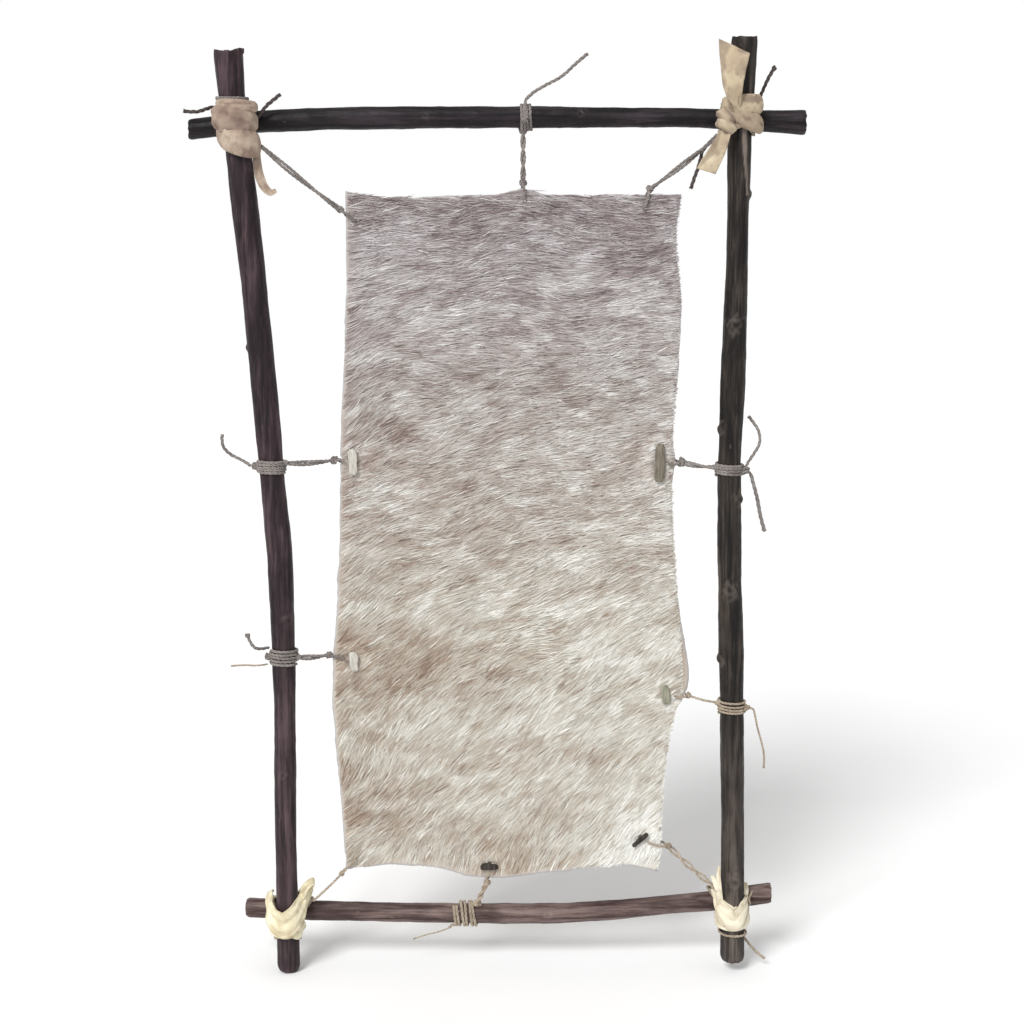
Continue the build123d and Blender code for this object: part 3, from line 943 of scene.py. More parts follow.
def tie_top_centre():
    knot = (34, HIDE_Y, -52)
    start = top.on_bark(34, math.radians(188), RUN_LIFT)
    routes = [wraps(top, 30.6, 41.6, 4.0, 190, 31)]
    routes += beside(taut(start, knot, 0), 2.7, 1.6, 0.6)
    routes.append(knot_route(top.on_bark(36, math.radians(100), KNOT_LIFT), (1, 0, 0.3), 3.2, 32))
    routes.append(knot_route(start, (0, 0.3, 1), 3.0, 33))
    routes.append(knot_route(knot, (0, 0, 1), 2.9, 34))
    over = [top.on_bark(36, math.radians(angle), RUN_LIFT) for angle in (95, 55)]
    routes.append(root("tail_top_centre", *over))
    return routes + edge_strands(knot, HOLES["top_centre"])


def tie_top_right():
    start = (221, -23, -7)
    knot = (156, HIDE_Y, -58.5)
    routes = beside(taut(start, knot, 1.5), 3.0, 0.8, 0.6)
    routes.append(knot_route(knot, toward(start, knot), 3.0, 41))
    return routes + edge_strands(knot, HOLES["top_right"])


SIDE_TURNS = 4.4


def side_tie(name, pole, spacing, middle, knot_angle, exit_place, knot, knot_sizes, seed, strands=2):
    """Turns of twine round an upright, a tight run to the hide's edge and the loop over it."""
    exit_at, exit_angle = exit_place
    half = (SIDE_TURNS - 0.6) / 2 * spacing
    end = (knot[0], HIDE_Y, knot[1])
    start = pole.on_bark(exit_at, math.radians(exit_angle), HUG + 2.2)
    outer = pole.on_bark(middle, math.radians(knot_angle), KNOT_LIFT)
    run = taut(start, end, 1.2)
    routes = [wraps(pole, middle - half, middle + half, SIDE_TURNS, exit_angle, seed)]
    routes.append(knot_route(outer, (0, 0.3, 1), knot_sizes[0], seed + 1))
    routes.append(knot_route(start, toward(start, end), 2.6, seed + 2))
    routes += [run] if strands == 1 else beside(run, 3.1, 0.5, 1.2)
    routes.append(knot_route(end, toward(start, end), knot_sizes[1], seed + 3))
    if pole is right:
        routes += [root(tail, outer) for tail in EXITS if tail.startswith("tail_" + name)]
    return routes + edge_strands(knot, HOLES[name], TOGGLE_REACH + 0.4, 1.6)


def tie_bottom_left():
    start = (-181, -19, -779)
    knot = (-151.5, HIDE_Y, -752)
    routes = [taut(start, knot, 0.8), knot_route(knot, toward(start, knot), 2.3, 81)]
    return routes + edge_strands(knot, HOLES["bottom_left"], 0, 0.8)


def tie_bottom_centre():
    knot = (-2.5, HIDE_Y, -761.5)
    start = bottom.on_bark(-13.5, math.radians(18), RUN_LIFT)
    routes = [wraps(bottom, -37.0, -12.0, 3.0, 30, 91), wraps(bottom, -34.0, -9.0, 3.0, 30, 92)]
    under = [bottom.on_bark(spot, math.radians(150), HUG + 1.5) for spot in (-35, -38.5)]
    routes.append(root("tail_bottom_centre", *under))
    routes += beside(taut(start, knot, 0), 2.8, 1.2, 0.4)
    routes.append(knot_route(start, (0.3, 0, 1), 2.8, 93))
    routes.append(knot_route(knot, (0, 0, 1), 2.8, 94))
    return routes + edge_strands(knot, HOLES["bottom_centre"], TOGGLE_REACH)


def tie_bottom_right():
    start = (233, -23, -764)
    knot = (183, HIDE_Y, -722)
    routes = beside(taut(start, knot, 2.2), 4.2, 1.7, 0.8)
    routes.append(knot_route(knot, toward(start, knot), 2.7, 101))
    return routes + edge_strands(knot, HOLES["bottom_right"], TOGGLE_REACH)


FULL = 3.1                 # drawn thickness of a tie's twine, and of the thinner ones
THIN = 2.5
TIES = (
    ("top_left", tie_top_left(), GREY_TWINE, FULL),
    ("top_centre", tie_top_centre(), GREY_TWINE, FULL),
    ("top_right", tie_top_right(), GREY_TWINE, FULL),
    ("left_upper", side_tie(
        "left_upper", left, 3.1, -327, 180, (-324, 10), (-152.5, -323), (3.1, 3.8), 51,
    ), GREY_TWINE, FULL),
    ("left_lower", side_tie(
        "left_lower", left, 3.9, -519, 170, (-520, 10), (-161, -521), (3.0, 2.9), 61,
    ), GREY_TWINE, FULL),
    ("right_upper", side_tie(
        "right_upper", right, 3.2, -330, 12, (-328, 170), (190.5, -325), (4.5, 3.9), 71,
    ), GREY_TWINE, FULL),
    ("right_lower", side_tie(
        "right_lower", right, 3.8, -571, 20, (-567, 170), (201, -563), (3.0, 2.6), 76, 1,
    ), TAN_TWINE, THIN),
    ("bottom_left", tie_bottom_left(), TAN_TWINE, THIN),
    ("bottom_centre", tie_bottom_centre(), TAN_TWINE, FULL),
    ("bottom_right", tie_bottom_right(), TAN_TWINE, THIN),
)
for number, (name, routes, twine, diameter) in enumerate(TIES):
    twine_piece(f"tie_{name}_twine", routes, diameter, twine, 200 + number, replaces=("tie_" + name,))


# ---------------------------------------------------------------- corner lashings
LOOP_SEARCH = 180          # directions tried round a loop for its outline


class Crossing:
    """Where an upright crosses a rail."""

    def __init__(self, post, rail, post_place, rail_place):
        self.post = post.centre_at(post_place)
        self.rail = rail.centre_at(rail_place)
        self.post_r = post.radius_at(post_place)
        self.rail_r = rail.radius_at(rail_place)
        self.centre = np.array([self.post[0], 0, self.rail[2]])

    def ovals(self, lean, origin, lift, round_rail):
        """The poles' sections by a leaning plane: centre across and in depth, then half sizes."""
        cos = math.cos(lean)
        sin = math.sin(lean)
        post_r = self.post_r + lift
        rail_r = self.rail_r + lift
        made = [((self.post[0] - origin[0]) / cos, self.post[1], post_r / cos, post_r)]
        if round_rail:
            made.append(((self.rail[2] - origin[2]) / sin, self.rail[1], rail_r / abs(sin), rail_r))
        return made

    def loop(self, lean, shift, lift, count, round_rail=True):
        """Points and outward directions of a tight loop round both poles, in a plane that
        holds the depth direction and leans from X towards Z."""
        way = np.array([math.cos(lean), 0, math.sin(lean)])
        origin = self.centre + np.array([-math.sin(lean), 0, math.cos(lean)]) * shift
        ovals = self.ovals(lean, origin, lift, round_rail)
        flat = []
        for turn in np.linspace(0, 2 * PI, LOOP_SEARCH + 1)[:-1]:
            t = math.cos(turn)
            y = math.sin(turn)
            best = max(ovals, key=lambda o: o[0] * t + o[1] * y + math.hypot(o[2] * t, o[3] * y))
            size = math.hypot(best[2] * t, best[3] * y)
            flat.append((best[0] + best[2] ** 2 * t / size, best[1] + best[3] ** 2 * y / size))
        flat = np.array(flat + flat[:1])
        where = run_along(flat)
        at = np.linspace(0, where[-1], count + 1)[:-1]
        t, y = (np.interp(at, where, flat[:, k]) for k in range(2))
        depth = np.array([0, 1, 0])
        step_t, step_y = (np.roll(values, -1) - np.roll(values, 1) for values in (t, y))
        outward = unit(step_y[:, None] * way - step_t[:, None] * depth)
        return origin + t[:, None] * way + y[:, None] * depth, outward


corners = {
    "top_left": Crossing(left, top, 5, -241),
    "top_right": Crossing(right, top, 8, 241),
    "bottom_left": Crossing(left, bottom, -795, -207),
    "bottom_right": Crossing(right, bottom, -784, 249),
}
CLOTH_T = 0.9
BUNCHED_T = 1.4            # cloth where it is doubled or gathered
ACROSS = 15                # points across a strip, and round a full turn of it
ROUND = 150
SPREAD = np.linspace(-0.5, 0.5, ACROSS)


def pleats(rows, seed, depth, folds):
    """Height of lengthwise pleats and crumples over a strip of cloth."""
    along = np.arange(rows)[:, None] * 1.0
    across = np.arange(ACROSS)[None, :] / (ACROSS - 1)
    drift = 0.12 * field(along, along * 0, 18, seed)
    height = depth * np.abs(np.sin(PI * folds * (across + drift)))
    height += 0.55 * depth * field(along, across * 26, 9, seed + 1)
    height += 0.25 * depth * field(along, across * 40, 4, seed + 2)
    return height


def closed_pleats(rows, seed, depth, folds, seam):
    """Pleats that meet smoothly when the strip's last row is joined to its first."""
    height = pleats(rows, seed, depth, folds)
    row = np.arange(rows)
    blend = (near(row, 0, seam) + near(row, rows, seam))[:, None]
    return height * (1 - blend) + height.mean() * blend


def cloth_part(outer, inner, crease_shade_and_dirt, closed=False):
    """Points, faces and painted crease shade with dirt of cloth between two grids of points."""
    points, faces = thick_sheet(outer, inner, closed)
    return points, faces, np.concatenate([crease_shade_and_dirt.ravel(), crease_shade_and_dirt.ravel()])


def cloth_wrap(
    corner, lean, shift, width, lift, seed, depth=1.1, folds=2.2, round_rail=True, pinch=0.25,
    aside=0.0,
):
    """One turn of cloth strip round the two poles, bunched to pinch of its width at the back."""
    lines = [
        corner.loop(math.radians(lean), value, lift, ROUND, round_rail)
        for value in shift + SPREAD * width
    ]
    base = np.stack([line[0] for line in lines], 1)
    outward = np.stack([line[1] for line in lines], 1)
    middle = base[:, ACROSS // 2][:, None, :]
    facing = np.clip(-outward[:, ACROSS // 2, 1], 0, 1)[:, None, None]
    base = middle + (base - middle) * (pinch + (1 - pinch) * facing) + np.array([aside, 0, 0])
    height = closed_pleats(ROUND, seed, depth, folds, 8)
    # painted shade: darker where the pleats dip
    crease_shade_and_dirt = np.clip(0.5 - height / max(depth, 0.1), 0, 0.55)
    height = height - 0.5 * lift * (np.abs(SPREAD) * 2) ** 3
    outer = base + outward * (CLOTH_T + height)[:, :, None]
    inner = base + outward * (height - 0.2)[:, :, None]
    return cloth_part(outer, inner, crease_shade_and_dirt, closed=True)


def cloth_strip(route, facing, widths, seed, depth=0.7, folds=1.5, slant=0.0, thick=CLOTH_T):
    """A free length of cloth strip: route of middles, facing directions and widths along it."""
    line = curve_through(route, 1.2)
    share = np.linspace(0, 1, len(line))
    stations = run_along(np.asarray(route, float))
    stations /= stations[-1]
    facing = np.asarray(facing, float)
    face = np.stack([np.interp(share, stations, facing[:, k]) for k in range(3)], -1)
    tangents = unit(np.gradient(line, axis=0))
    across = unit(np.cross(tangents, face))
    outward = np.cross(across, tangents)
    wide = np.interp(share, stations, widths)
    height = pleats(len(line), seed, depth, folds)
    base = line[:, None, :] + across[:, None, :] * (wide[:, None] * SPREAD[None, :])[:, :, None]
    cut = slant * np.clip(share * 6 - 5, 0, 1)[:, None] * SPREAD[None, :]
    base = base + tangents[:, None, :] * cut[:, :, None]
    outer = base + outward[:, None, :] * (thick + height)[:, :, None]
    inner = base + outward[:, None, :] * (0.8 * height)[:, :, None]
    # painted shade: darker where the pleats dip
    return cloth_part(outer, inner, np.clip(0.45 - height / max(depth, 0.1), 0, 0.5))


def knot_band(centre, axis, radii, width, seed):
    """A closed band of bunched cloth round an axis, as the turn of a knot."""
    rows = 70
    axis = unit(axis)
    front = unit(np.array(FRONTWARD) + axis * axis[1])
    side = np.cross(axis, front)
    turn = round_turns(rows)
    middle = swing(turn, front * radii[0], side * radii[1])
    out = swing(turn, front, side)
    height = closed_pleats(rows, seed, 0.9, 1.6, 5)
    height = height - 2.6 * (np.abs(SPREAD) * 2) ** 2.5
    base = np.asarray(centre, float) + middle[:, None, :] + axis * (SPREAD * width)[None, :, None]
    outer = base + out[:, None, :] * (1.6 + height)[:, :, None]
    inner = base + out[:, None, :] * (0.4 + height)[:, :, None]
    # painted shade: darker where the knot's pleats dip
    return cloth_part(outer, inner, np.clip(0.30 - height / 3, 0, 0.6), closed=True)


def grubby(part, amount):
    """The same part of a strap with that much more dirt in it."""
    points, faces, crease_shade_and_dirt = part
    return points, faces, np.clip(crease_shade_and_dirt + amount, 0, 0.85)


def strap_top_left():
    corner = corners["top_left"]
    parts = [
        grubby(cloth_wrap(corner, -46, 0, 8, 1.6, 301, 0.7), 0.3),
        grubby(cloth_wrap(corner, 46, 0, 8, 2.2, 302, 0.7), 0.3),
        grubby(cloth_wrap(corner, -6, 3, 27, 7.4, 303, 1.4, 1.9, False, 0.7), 0.38),
        cloth_wrap(corner, -17, -14.5, 29, 6.4, 304, 1.3, 0.9, False, 0.75, 3.5),
        grubby(cloth_wrap(corner, -3, 16.0, 13, 5.6, 305, 1.2, 1.4, False, 0.8, 2.0), 0.05),
    ]
    tail = [
        (-222, -18, -16), (-221.5, -21, -34), (-218.5, -24, -48), (-213.5, -25.5, -57.5),
        (-208, -26.5, -61.5), (-203, -26, -59.5),
    ]
    facing = [(0.3, -1, 0)] * 4 + [(0, -0.9, 0.3), (0, -0.7, 0.6)]
    parts.append(grubby(cloth_strip(tail, facing, [6, 8.5, 9, 8, 6.5, 4.5], 306, 0.6, 1.2), -0.5))
    return parts


def strap_top_right():
    corner = corners["top_right"]
    parts = [
        grubby(cloth_wrap(corner, 48, 0, 7, 1.6, 311, 0.7), 0.5),
        grubby(cloth_wrap(corner, -48, 0, 4, 1.6, 312, 0.5), 0.5),
        grubby(cloth_wrap(corner, 3, 13.0, 21, 6.6, 313, 1.3, 1.3, False, 0.85, 1.5), 0.14),
        grubby(cloth_wrap(corner, -22, 1.5, 19, 7.4, 314, 1.4, 1.7, False, 0.8, 1.5), 0.48),
        grubby(cloth_wrap(corner, 22, -3, 10, 5.4, 318, 1.0, 1.4, False, 0.8, -3.0), 0.40),
    ]
    up = [
        (235, -39, 16), (234.5, -44.5, 22.5), (232.5, -46.5, 30), (231.3, -46, 39.5),
        (231.5, -45, 53), (232.2, -43.5, 67), (232.2, -42, 75),
    ]
    widths = [6, 8, 15, 19.5, 23.5, 28.2, 29]
    parts.append(cloth_strip(up, [FRONTWARD] * 7, widths, 315, 1.3, 1.1, -14))
    down = [(228, -42, 3), (224, -44, -7), (217.5, -45, -22), (211, -44, -34), (207.5, -43, -41)]
    parts.append(cloth_strip(down, [FRONTWARD] * 5, [8, 12, 16, 18, 18.5], 316, 0.8, 1.1, 3))
    parts.append(grubby(knot_band((226, -41, 1.5), (-0.5, 0, -0.86), (6.2, 8.0), 11, 317), 0.05))
    parts.append(grubby(knot_band((225, -40, 9.5), (0.75, 0, 0.66), (6.0, 7.6), 11, 319), 0.22))
    return parts


# A sling passes in front of an upright with both its arms behind, and so does the turn under it.
SLING_FACING = [
    (-0.3, 0.3, 1), (-0.4, -0.3, 0.8), (-0.7, -0.8, 0.1), (-0.5, -1, -0.1), (0, -1, 0),
    (0.5, -1, -0.1), (0.7, -0.8, 0.1), (0.4, -0.3, 0.8), (0.3, 0.3, 1),
]
UNDER_FACING = [(-1, -0.3, 0), (-0.8, -0.8, 0), (0, -1, -0.2), (0.8, -0.8, 0), (1, -0.3, 0)]


def strap_bottom_left():
    corner = corners["bottom_left"]
    front = -26.5 - corner.post_r
    sling = [
        (-226, 4, -779), (-226.5, -9, -778), (-224.5, -21, -783), (-219.5, -33, -791),
        (-209, front - 1.5, -797), (-198, -34, -789), (-191.5, -23, -777), (-187, -12, -768),
        (-188, 4, -774),
    ]
    widths = [7, 9, 14, 22, 28, 24, 16, 11, 8]
    parts = [cloth_strip(sling, SLING_FACING, widths, 321, 1.5, 2.3, 0, BUNCHED_T)]
    under = [
        (-224, -14, -803), (-221, -30, -803), (-208, front + 0.5, -806), (-196, -30, -803),
        (-192, -14, -801),
    ]
    widths = [12, 14, 12, 15, 12]
    parts.append(cloth_strip(under, UNDER_FACING, widths, 322, 1.0, 1.6, 0, BUNCHED_T))
    parts.append(cloth_wrap(corner, 42, -2, 14, 2.2, 323, 0.7))
    parts.append(cloth_wrap(corner, -42, -2, 14, 2.8, 324, 0.7))
    loop = [
        (-193, -14, -776), (-190, -24, -768), (-185, -27, -759), (-181, -22, -757),
        (-183, -16, -765), (-189, -12, -770),
    ]
    facing = [
        (-0.5, -1, 0), (-0.4, -1, 0.2), (0, -0.8, 0.8), (0.9, -0.4, 0.6), (0.9, 0, -0.3),
        (0.5, -0.3, -0.8),
    ]
    parts.append(cloth_strip(loop, facing, [10, 10, 8, 8, 8, 7], 325, 0.8, 1.3, 0, BUNCHED_T))
    return parts


def strap_bottom_right():
    corner = corners["bottom_right"]
    front = -25.3 - corner.post_r
    sling = [
        (233, 6, -771), (232, -8, -768), (233, -20, -773), (238.5, -32, -785),
        (249, front - 1.5, -793), (258, -33, -784), (261, -20, -772), (262.5, -8, -766),
        (262, 5, -771),
    ]
    widths = [5, 6, 8, 14, 21, 17, 10, 7, 6]
    parts = [cloth_strip(sling, SLING_FACING, widths, 331, 1.3, 2.0, 0, BUNCHED_T)]
    under = [
        (234, -14, -794), (237, -30, -797), (249, front + 0.8, -799), (261, -30, -796),
        (265, -14, -792),
    ]
    widths = [10, 13, 11, 13, 11]
    parts.append(cloth_strip(under, UNDER_FACING, widths, 332, 0.9, 1.6, 0, BUNCHED_T))
    parts.append(cloth_wrap(corner, 44, -2, 12, 2.2, 333, 0.7))
    parts.append(cloth_wrap(corner, -44, -2, 12, 2.8, 334, 0.7))
    arm = [
        (236.5, -28, -780), (234.5, -32, -768), (233.5, -33.5, -757), (233, -33, -746),
        (234, -31, -737),
    ]
    parts.append(cloth_strip(arm, [(-0.4, -1, 0)] * 5, [8, 7, 6, 4.5, 2.5], 335, 0.6, 1.2, 0, 1.3))
    nub = [(232.5, -33, -762), (229.5, -34.5, -752), (226.5, -34, -745.5)]
    parts.append(cloth_strip(nub, [(-0.3, -1, 0)] * 3, [5, 5, 3.5], 336, 0.5, 1.0, 0, 1.3))
    return parts


# Each corner's strap, and its cloth's shade, middle, light and stain, the stain also used as painted
# shade in the creases.
STRAPS = {
    "top_left": (strap_top_left, (
        (150, 130, 116), (178, 159, 142), (202, 187, 167), (126, 105, 97))),
    "top_right": (strap_top_right, (
        (166, 148, 126), (194, 177, 150), (212, 198, 170), (128, 110, 100))),
    "bottom_left": (strap_bottom_left, (
        (206, 192, 160), (236, 227, 196), (252, 246, 220), (184, 166, 132))),
    "bottom_right": (strap_bottom_right, (
        (204, 192, 166), (232, 224, 202), (250, 244, 224), (178, 162, 134))),
}


def strap_piece(name, parts, tones):
    """The cloth of one corner from its turns and ends."""
    strap = "strap_" + name
    points, faces = joined([(points, faces) for points, faces, _ in parts])
    mesh = new_mesh(strap + "_cloth", points, faces)
    # the cloth's painted crease shade together with its added dirt
    paint(mesh, "crease_shade_and_dirt", np.concatenate([crease_shade_and_dirt for _, _, crease_shade_and_dirt in parts]))
    cloth = cloth_material("cloth_" + name, *tones)
    place(strap + "_cloth", mesh, cloth, replaces=(strap,))


for name, (make, tones) in STRAPS.items():
    strap_piece(name, make(), tones)


def lashing_routes(corner, rings, post, drop, seed):
    """Turns of twine: rings round the upright that show past the cloth, and turns crossed over
    both poles."""
    routes = [wraps(post, low, high, turns, 200, seed) for low, high, turns in rings]
    for lean, shift in ((42, -2 - drop), (42, 2 - drop), (-42, -2 - drop), (-42, 2 - drop)):
        points, _ = corner.loop(math.radians(lean), shift, 1.7, 60)
        routes.append(np.concatenate([points, points[:2]]))
    return routes


# Rings (from, to, turns), the upright, how far the crossed turns sit below the crossing, twine.
LASHINGS = {
    "top_left": (((25.2, 28.4, 2.0),), left, 0.0, GREY_TWINE),
    "top_right": (((22.0, 25.0, 1.2),), right, 0.0, GREY_TWINE),
    "bottom_left": (((-806.0, -803.0, 1.2),), left, 5.0, TAN_TWINE),
    "bottom_right": (((-812.0, -808.8, 1.3),), right, 5.0, TAN_TWINE),
}
LASHING_D = 2.6
EXTRA_RUNS = {
    "top_left": (
        root("tail_top_left_side", (-250, -15, 18), (-258, -10, 19)),
        root("tail_top_left_up", (-227, -15, 3), (-223.5, -17, 6)),
    ),
    "top_right": (
        root("tail_top_right_up", (250, -14, 16), (256, -12.5, 21)),
        root("tail_top_right_down", (221, -21, -7), (212, -17, -15)),
    ),
    "bottom_left": (),
    "bottom_right": (
        curve_through([(256, -27, -764), (261.5, -26, -769), (266, -24, -777), (267, -18, -783)], 3),
        root("tail_bottom_right", (263.6, -21, -812), (263.2, -16, -816)),
    ),
}
for number, (name, (rings, post, drop, twine)) in enumerate(LASHINGS.items()):
    routes = lashing_routes(corners[name], rings, post, drop, 400 + 10 * number)
    routes += EXTRA_RUNS[name]
    twine_piece(
        f"lashing_{name}_twine", routes, LASHING_D, twine, 440 + number,
        replaces=("lashing_" + name,),
    )


# ---------------------------------------------------------------- hide
HIDE_TOP = (
    (-138, -60), (-105, -66.5), (-56, -66), (10, -62.5), (34, -57.5), (52, -63), (147, -64), (187, -63),
)
HIDE_RIGHT = (
    (187, -63), (182, -100), (188, -165), (185, -250), (182, -300), (185, -320), (182, -345),
    (183, -390), (189, -465), (197, -563), (188, -580), (179, -627), (175, -695), (176, -716),
    (172, -749),
)
HIDE_BOTTOM = (
    (-147, -747), (-92, -742), (-48, -747), (-12, -756), (3, -757), (72, -749), (145, -743), (172, -749),
)
HIDE_LEFT = (
    (-138, -60), (-138, -136), (-147, -323), (-150, -440), (-158, -568), (-150, -690), (-147, -747),
)
OUTLINE = np.array(HIDE_TOP + HIDE_RIGHT[1:] + HIDE_BOTTOM[::-1][1:] + HIDE_LEFT[::-1][1:-1])
HIDE_COLUMNS = 120
HIDE_ROWS = 230
HOLE_R = 2.6
HOLE_CUT = 2.4             # quads with their middles nearer than this to a hole are left out
HOLE_PULL = 13.0           # how far from a hole the skin is drawn outwards


def edge_line(points, count, seed):
    """One edge of the hide with the small raggedness of a knife cut, its ends kept."""
    line = curve_through([(x, z, 0) for x, z in points], 1.0)[:, :2]
    where = run_along(line)
    at = np.linspace(0, where[-1], count)
    line = np.stack([np.interp(at, where, line[:, k]) for k in range(2)], -1)
    ends = np.sin(np.linspace(0, PI, count)) ** 0.5
    for size, height in ((26, 0.6), (7, 0.35), (2.5, 0.18)):
        line[:, 0] += height * ends * field(at, at * 0, size, seed)
        line[:, 1] += height * ends * field(at, at * 0 + 9, size, seed + 1)
    return line


def hide_plan():
    """Grid of (x, z) over the hide, between its four edges."""
    above = edge_line(HIDE_TOP, HIDE_COLUMNS, 501)
    below = edge_line(HIDE_BOTTOM, HIDE_COLUMNS, 503)
    west = edge_line(HIDE_LEFT, HIDE_ROWS, 505)
    east = edge_line(HIDE_RIGHT, HIDE_ROWS, 507)
    u = np.linspace(0, 1, HIDE_COLUMNS)[None, :, None]
    v = np.linspace(0, 1, HIDE_ROWS)[:, None, None]
    ruled = (1 - v) * above[None] + v * below[None] + (1 - u) * west[:, None] + u * east[:, None]
    corner = (1 - u) * (1 - v) * above[0] + u * (1 - v) * above[-1]
    corner = corner + (1 - u) * v * below[0] + u * v * below[-1]
    return ruled - corner


def clean_patch(x, z):
    """1 in the smooth white patch at the lower right corner."""
    return near(np.hypot((x - 150) / 1.15, z + 726), 0, 30)


def hide_wave(x, z):
    """Depth of the stretched hide's gentle waves, flat where it is tied."""
    wave = 0.9 * field(x, z, 95, 511) + 0.45 * field(x, z, 34, 512)
    calm = np.ones_like(x, dtype=float)
    for hole_x, hole_z in HOLES.values():
        calm *= 1 - 0.9 * near(np.hypot(x - hole_x, z - hole_z), 0, 22)
    return np.clip(wave * calm, -1.5, 1.5)


def pulled_open(plan):
    """The grid pushed back round each punched hole, and which quads are kept."""
    x = plan[:, :, 0]
    z = plan[:, :, 1]
    centre_x = (x[:-1, :-1] + x[1:, 1:]) / 2
    centre_z = (z[:-1, :-1] + z[1:, 1:]) / 2
    keep = np.ones(centre_x.shape, bool)
    for hole_x, hole_z in HOLES.values():
        keep &= np.hypot(centre_x - hole_x, centre_z - hole_z) > HOLE_CUT
        away = np.hypot(x - hole_x, z - hole_z)
        new = np.where(away < HOLE_PULL, HOLE_R + away * (1 - HOLE_R / HOLE_PULL), away)
        scale = np.where(away > 0.01, new / np.maximum(away, 0.01), 1)
        x = np.where(away < HOLE_PULL, hole_x + (x - hole_x) * scale * 0.9, x)
        z = np.where(away < HOLE_PULL, hole_z + (z - hole_z) * scale * 0.9, z)
    return np.stack([x, z], -1), keep


def skin_piece():
    """The skin under the hair, with marks for its front, its cut edge and its clean patch."""
    plan, keep = pulled_open(hide_plan())
    x = plan[:, ::-1, 0]
    z = plan[:, ::-1, 1]
    wave = hide_wave(x, z)
    outer = np.stack([x, SKIN_FRONT + wave, z], -1)
    inner = np.stack([x, SKIN_BACK + wave, z], -1)
    points, faces = thick_sheet(outer, inner, keep=keep[:, ::-1].ravel())
    mesh = new_mesh("hide_skin", points, faces)
    edge = np.zeros(x.shape)
    edge[[0, -1], :] = 1
    edge[:, [0, -1]] = 1
    clean = clean_patch(x, z)
    paint(mesh, "front", [np.ones(x.shape), np.zeros(x.shape)])
    paint(mesh, "clean", [clean, clean])
    paint(mesh, "edge", [edge, edge])
    return place("hide_skin", mesh, skin_material(), replaces=("hide",))


# ---------------------------------------------------------------- hair
CLEAR_OF_LOOP = 3.3        # hair lies no nearer than this to a toggle's hole
LOW_HAIR = 0.9             # how high it stands next to a toggle
HAIR_LENGTH = (13, 27)
OVERHANG = (0.2, 2.6)      # how far hair may reach past the hide's edge
HAIR_AREA = (-160, 198, -758, -58)

# Strands, seed, lowest and highest lift over the skin, width of a strand, fineness of its tone.
FUR_LAYERS = (
    (28000, 541, 0.5, 1.4, 1.25, 660), (28000, 542, 0.9, 2.0, 0.95, 700),
    (28000, 543, 1.2, 2.6, 0.80, 740),
)
# Stations along a strand: share of its length, of its lift and of its width.
STRAND = ((0, 0, 0.7), (0.3, 0.62, 1.0), (0.72, 1.0, 0.72), (1.0, 0.95, 0.0))


def comb(x, z):
    """Lie of the hair: angle up from +X in radians, level at the top and steep at the bottom."""
    down = np.clip((-60 - z) / 690, 0, 1)
    base = np.interp(down, [0, 0.12, 0.28, 0.5, 0.68, 0.82, 1.0], [-5, 0, 13, 19, 30, 44, 62])
    across = (x + 150) / 340
    base = base + (across - 0.5) * np.interp(down, [0, 0.3, 0.7, 1], [-10, -6, -4, 8])
    swirl = 9 * field(x, z, 60, 521) + 5 * field(x, z, 24, 522)
    return np.radians(base + swirl)


# Large paler and darker patches of the coat: x, z, size and change of tone.
COAT_PATCHES = (
    (125, -491, 42, -0.11), (-25, -435, 42, -0.10), (50, -435, 36, -0.07), (-25, -133, 40, 0.06),
    (50, -105, 42, -0.06), (-25, -250, 38, -0.07), (-100, -491, 36, 0.08), (-100, -548, 34, -0.08),
    (-100, -604, 34, -0.05), (50, -548, 40, -0.10), (125, -378, 40, -0.06), (-100, -133, 36, 0.04),
    (-100, -435, 34, -0.04), (-25, -548, 36, -0.05), (125, -320, 36, -0.06), (50, -604, 36, 0.02),
)


def hair_tone(x, z, rng):
    """Tone of each strand from its root: brown 0 to off-white 1."""
    down = np.clip((-60 - z) / 690, 0, 1)
    tone = np.interp(down, [0, 0.15, 0.35, 0.6, 0.8, 1], [0.42, 0.52, 0.60, 0.66, 0.66, 0.64])
    angle = comb(x, z)
    lengthwise = x * np.cos(angle.mean()) + z * np.sin(angle.mean())
    tone += 0.055 * field(x * 0.6, z * 1.2, 46, 531)
    tone += 0.085 * field(x * 0.55, z * 1.25, 16, 532)
    tone += 0.12 * field(x * 0.8, z * 1.3, 6, 533)
    tone += 0.08 * field(lengthwise, z, 2.6, 534)
    band = near(z + 0.10 * (x - 60), -408, 7) * np.clip((x + 30) / 80, 0, 1)
    band += 0.9 * near(z - 0.06 * (x + 60), -557, 9) * np.clip((60 - x) / 120, 0, 1)
    band += 0.6 * near(z - 0.05 * x, -300, 10) * np.clip((40 - x) / 80, 0, 1)
    tone -= 0.26 * band * np.clip(0.6 + 0.5 * field(x, z, 22, 535), 0, 1.4)
    tone += 0.55 * clean_patch(x, z)
    tone -= 0.07 * np.clip((-x - 20) / 100, 0, 1) * np.clip((-420 - z) / 120, 0, 1)
    tone += 0.07 * np.clip((x - 10) / 120, 0, 1) * np.clip((-60 - z) / 400, 0.6, 1)
    for patch_x, patch_z, size, change in COAT_PATCHES:
        tone += change * near(np.hypot(x - patch_x, z - patch_z), 0, size)
    tone += 0.10 * near(np.hypot(x - 150, z + 625), 0, 60)
    tone += rng.normal(0, 0.11, len(x))
    return np.clip(tone, 0, 1)


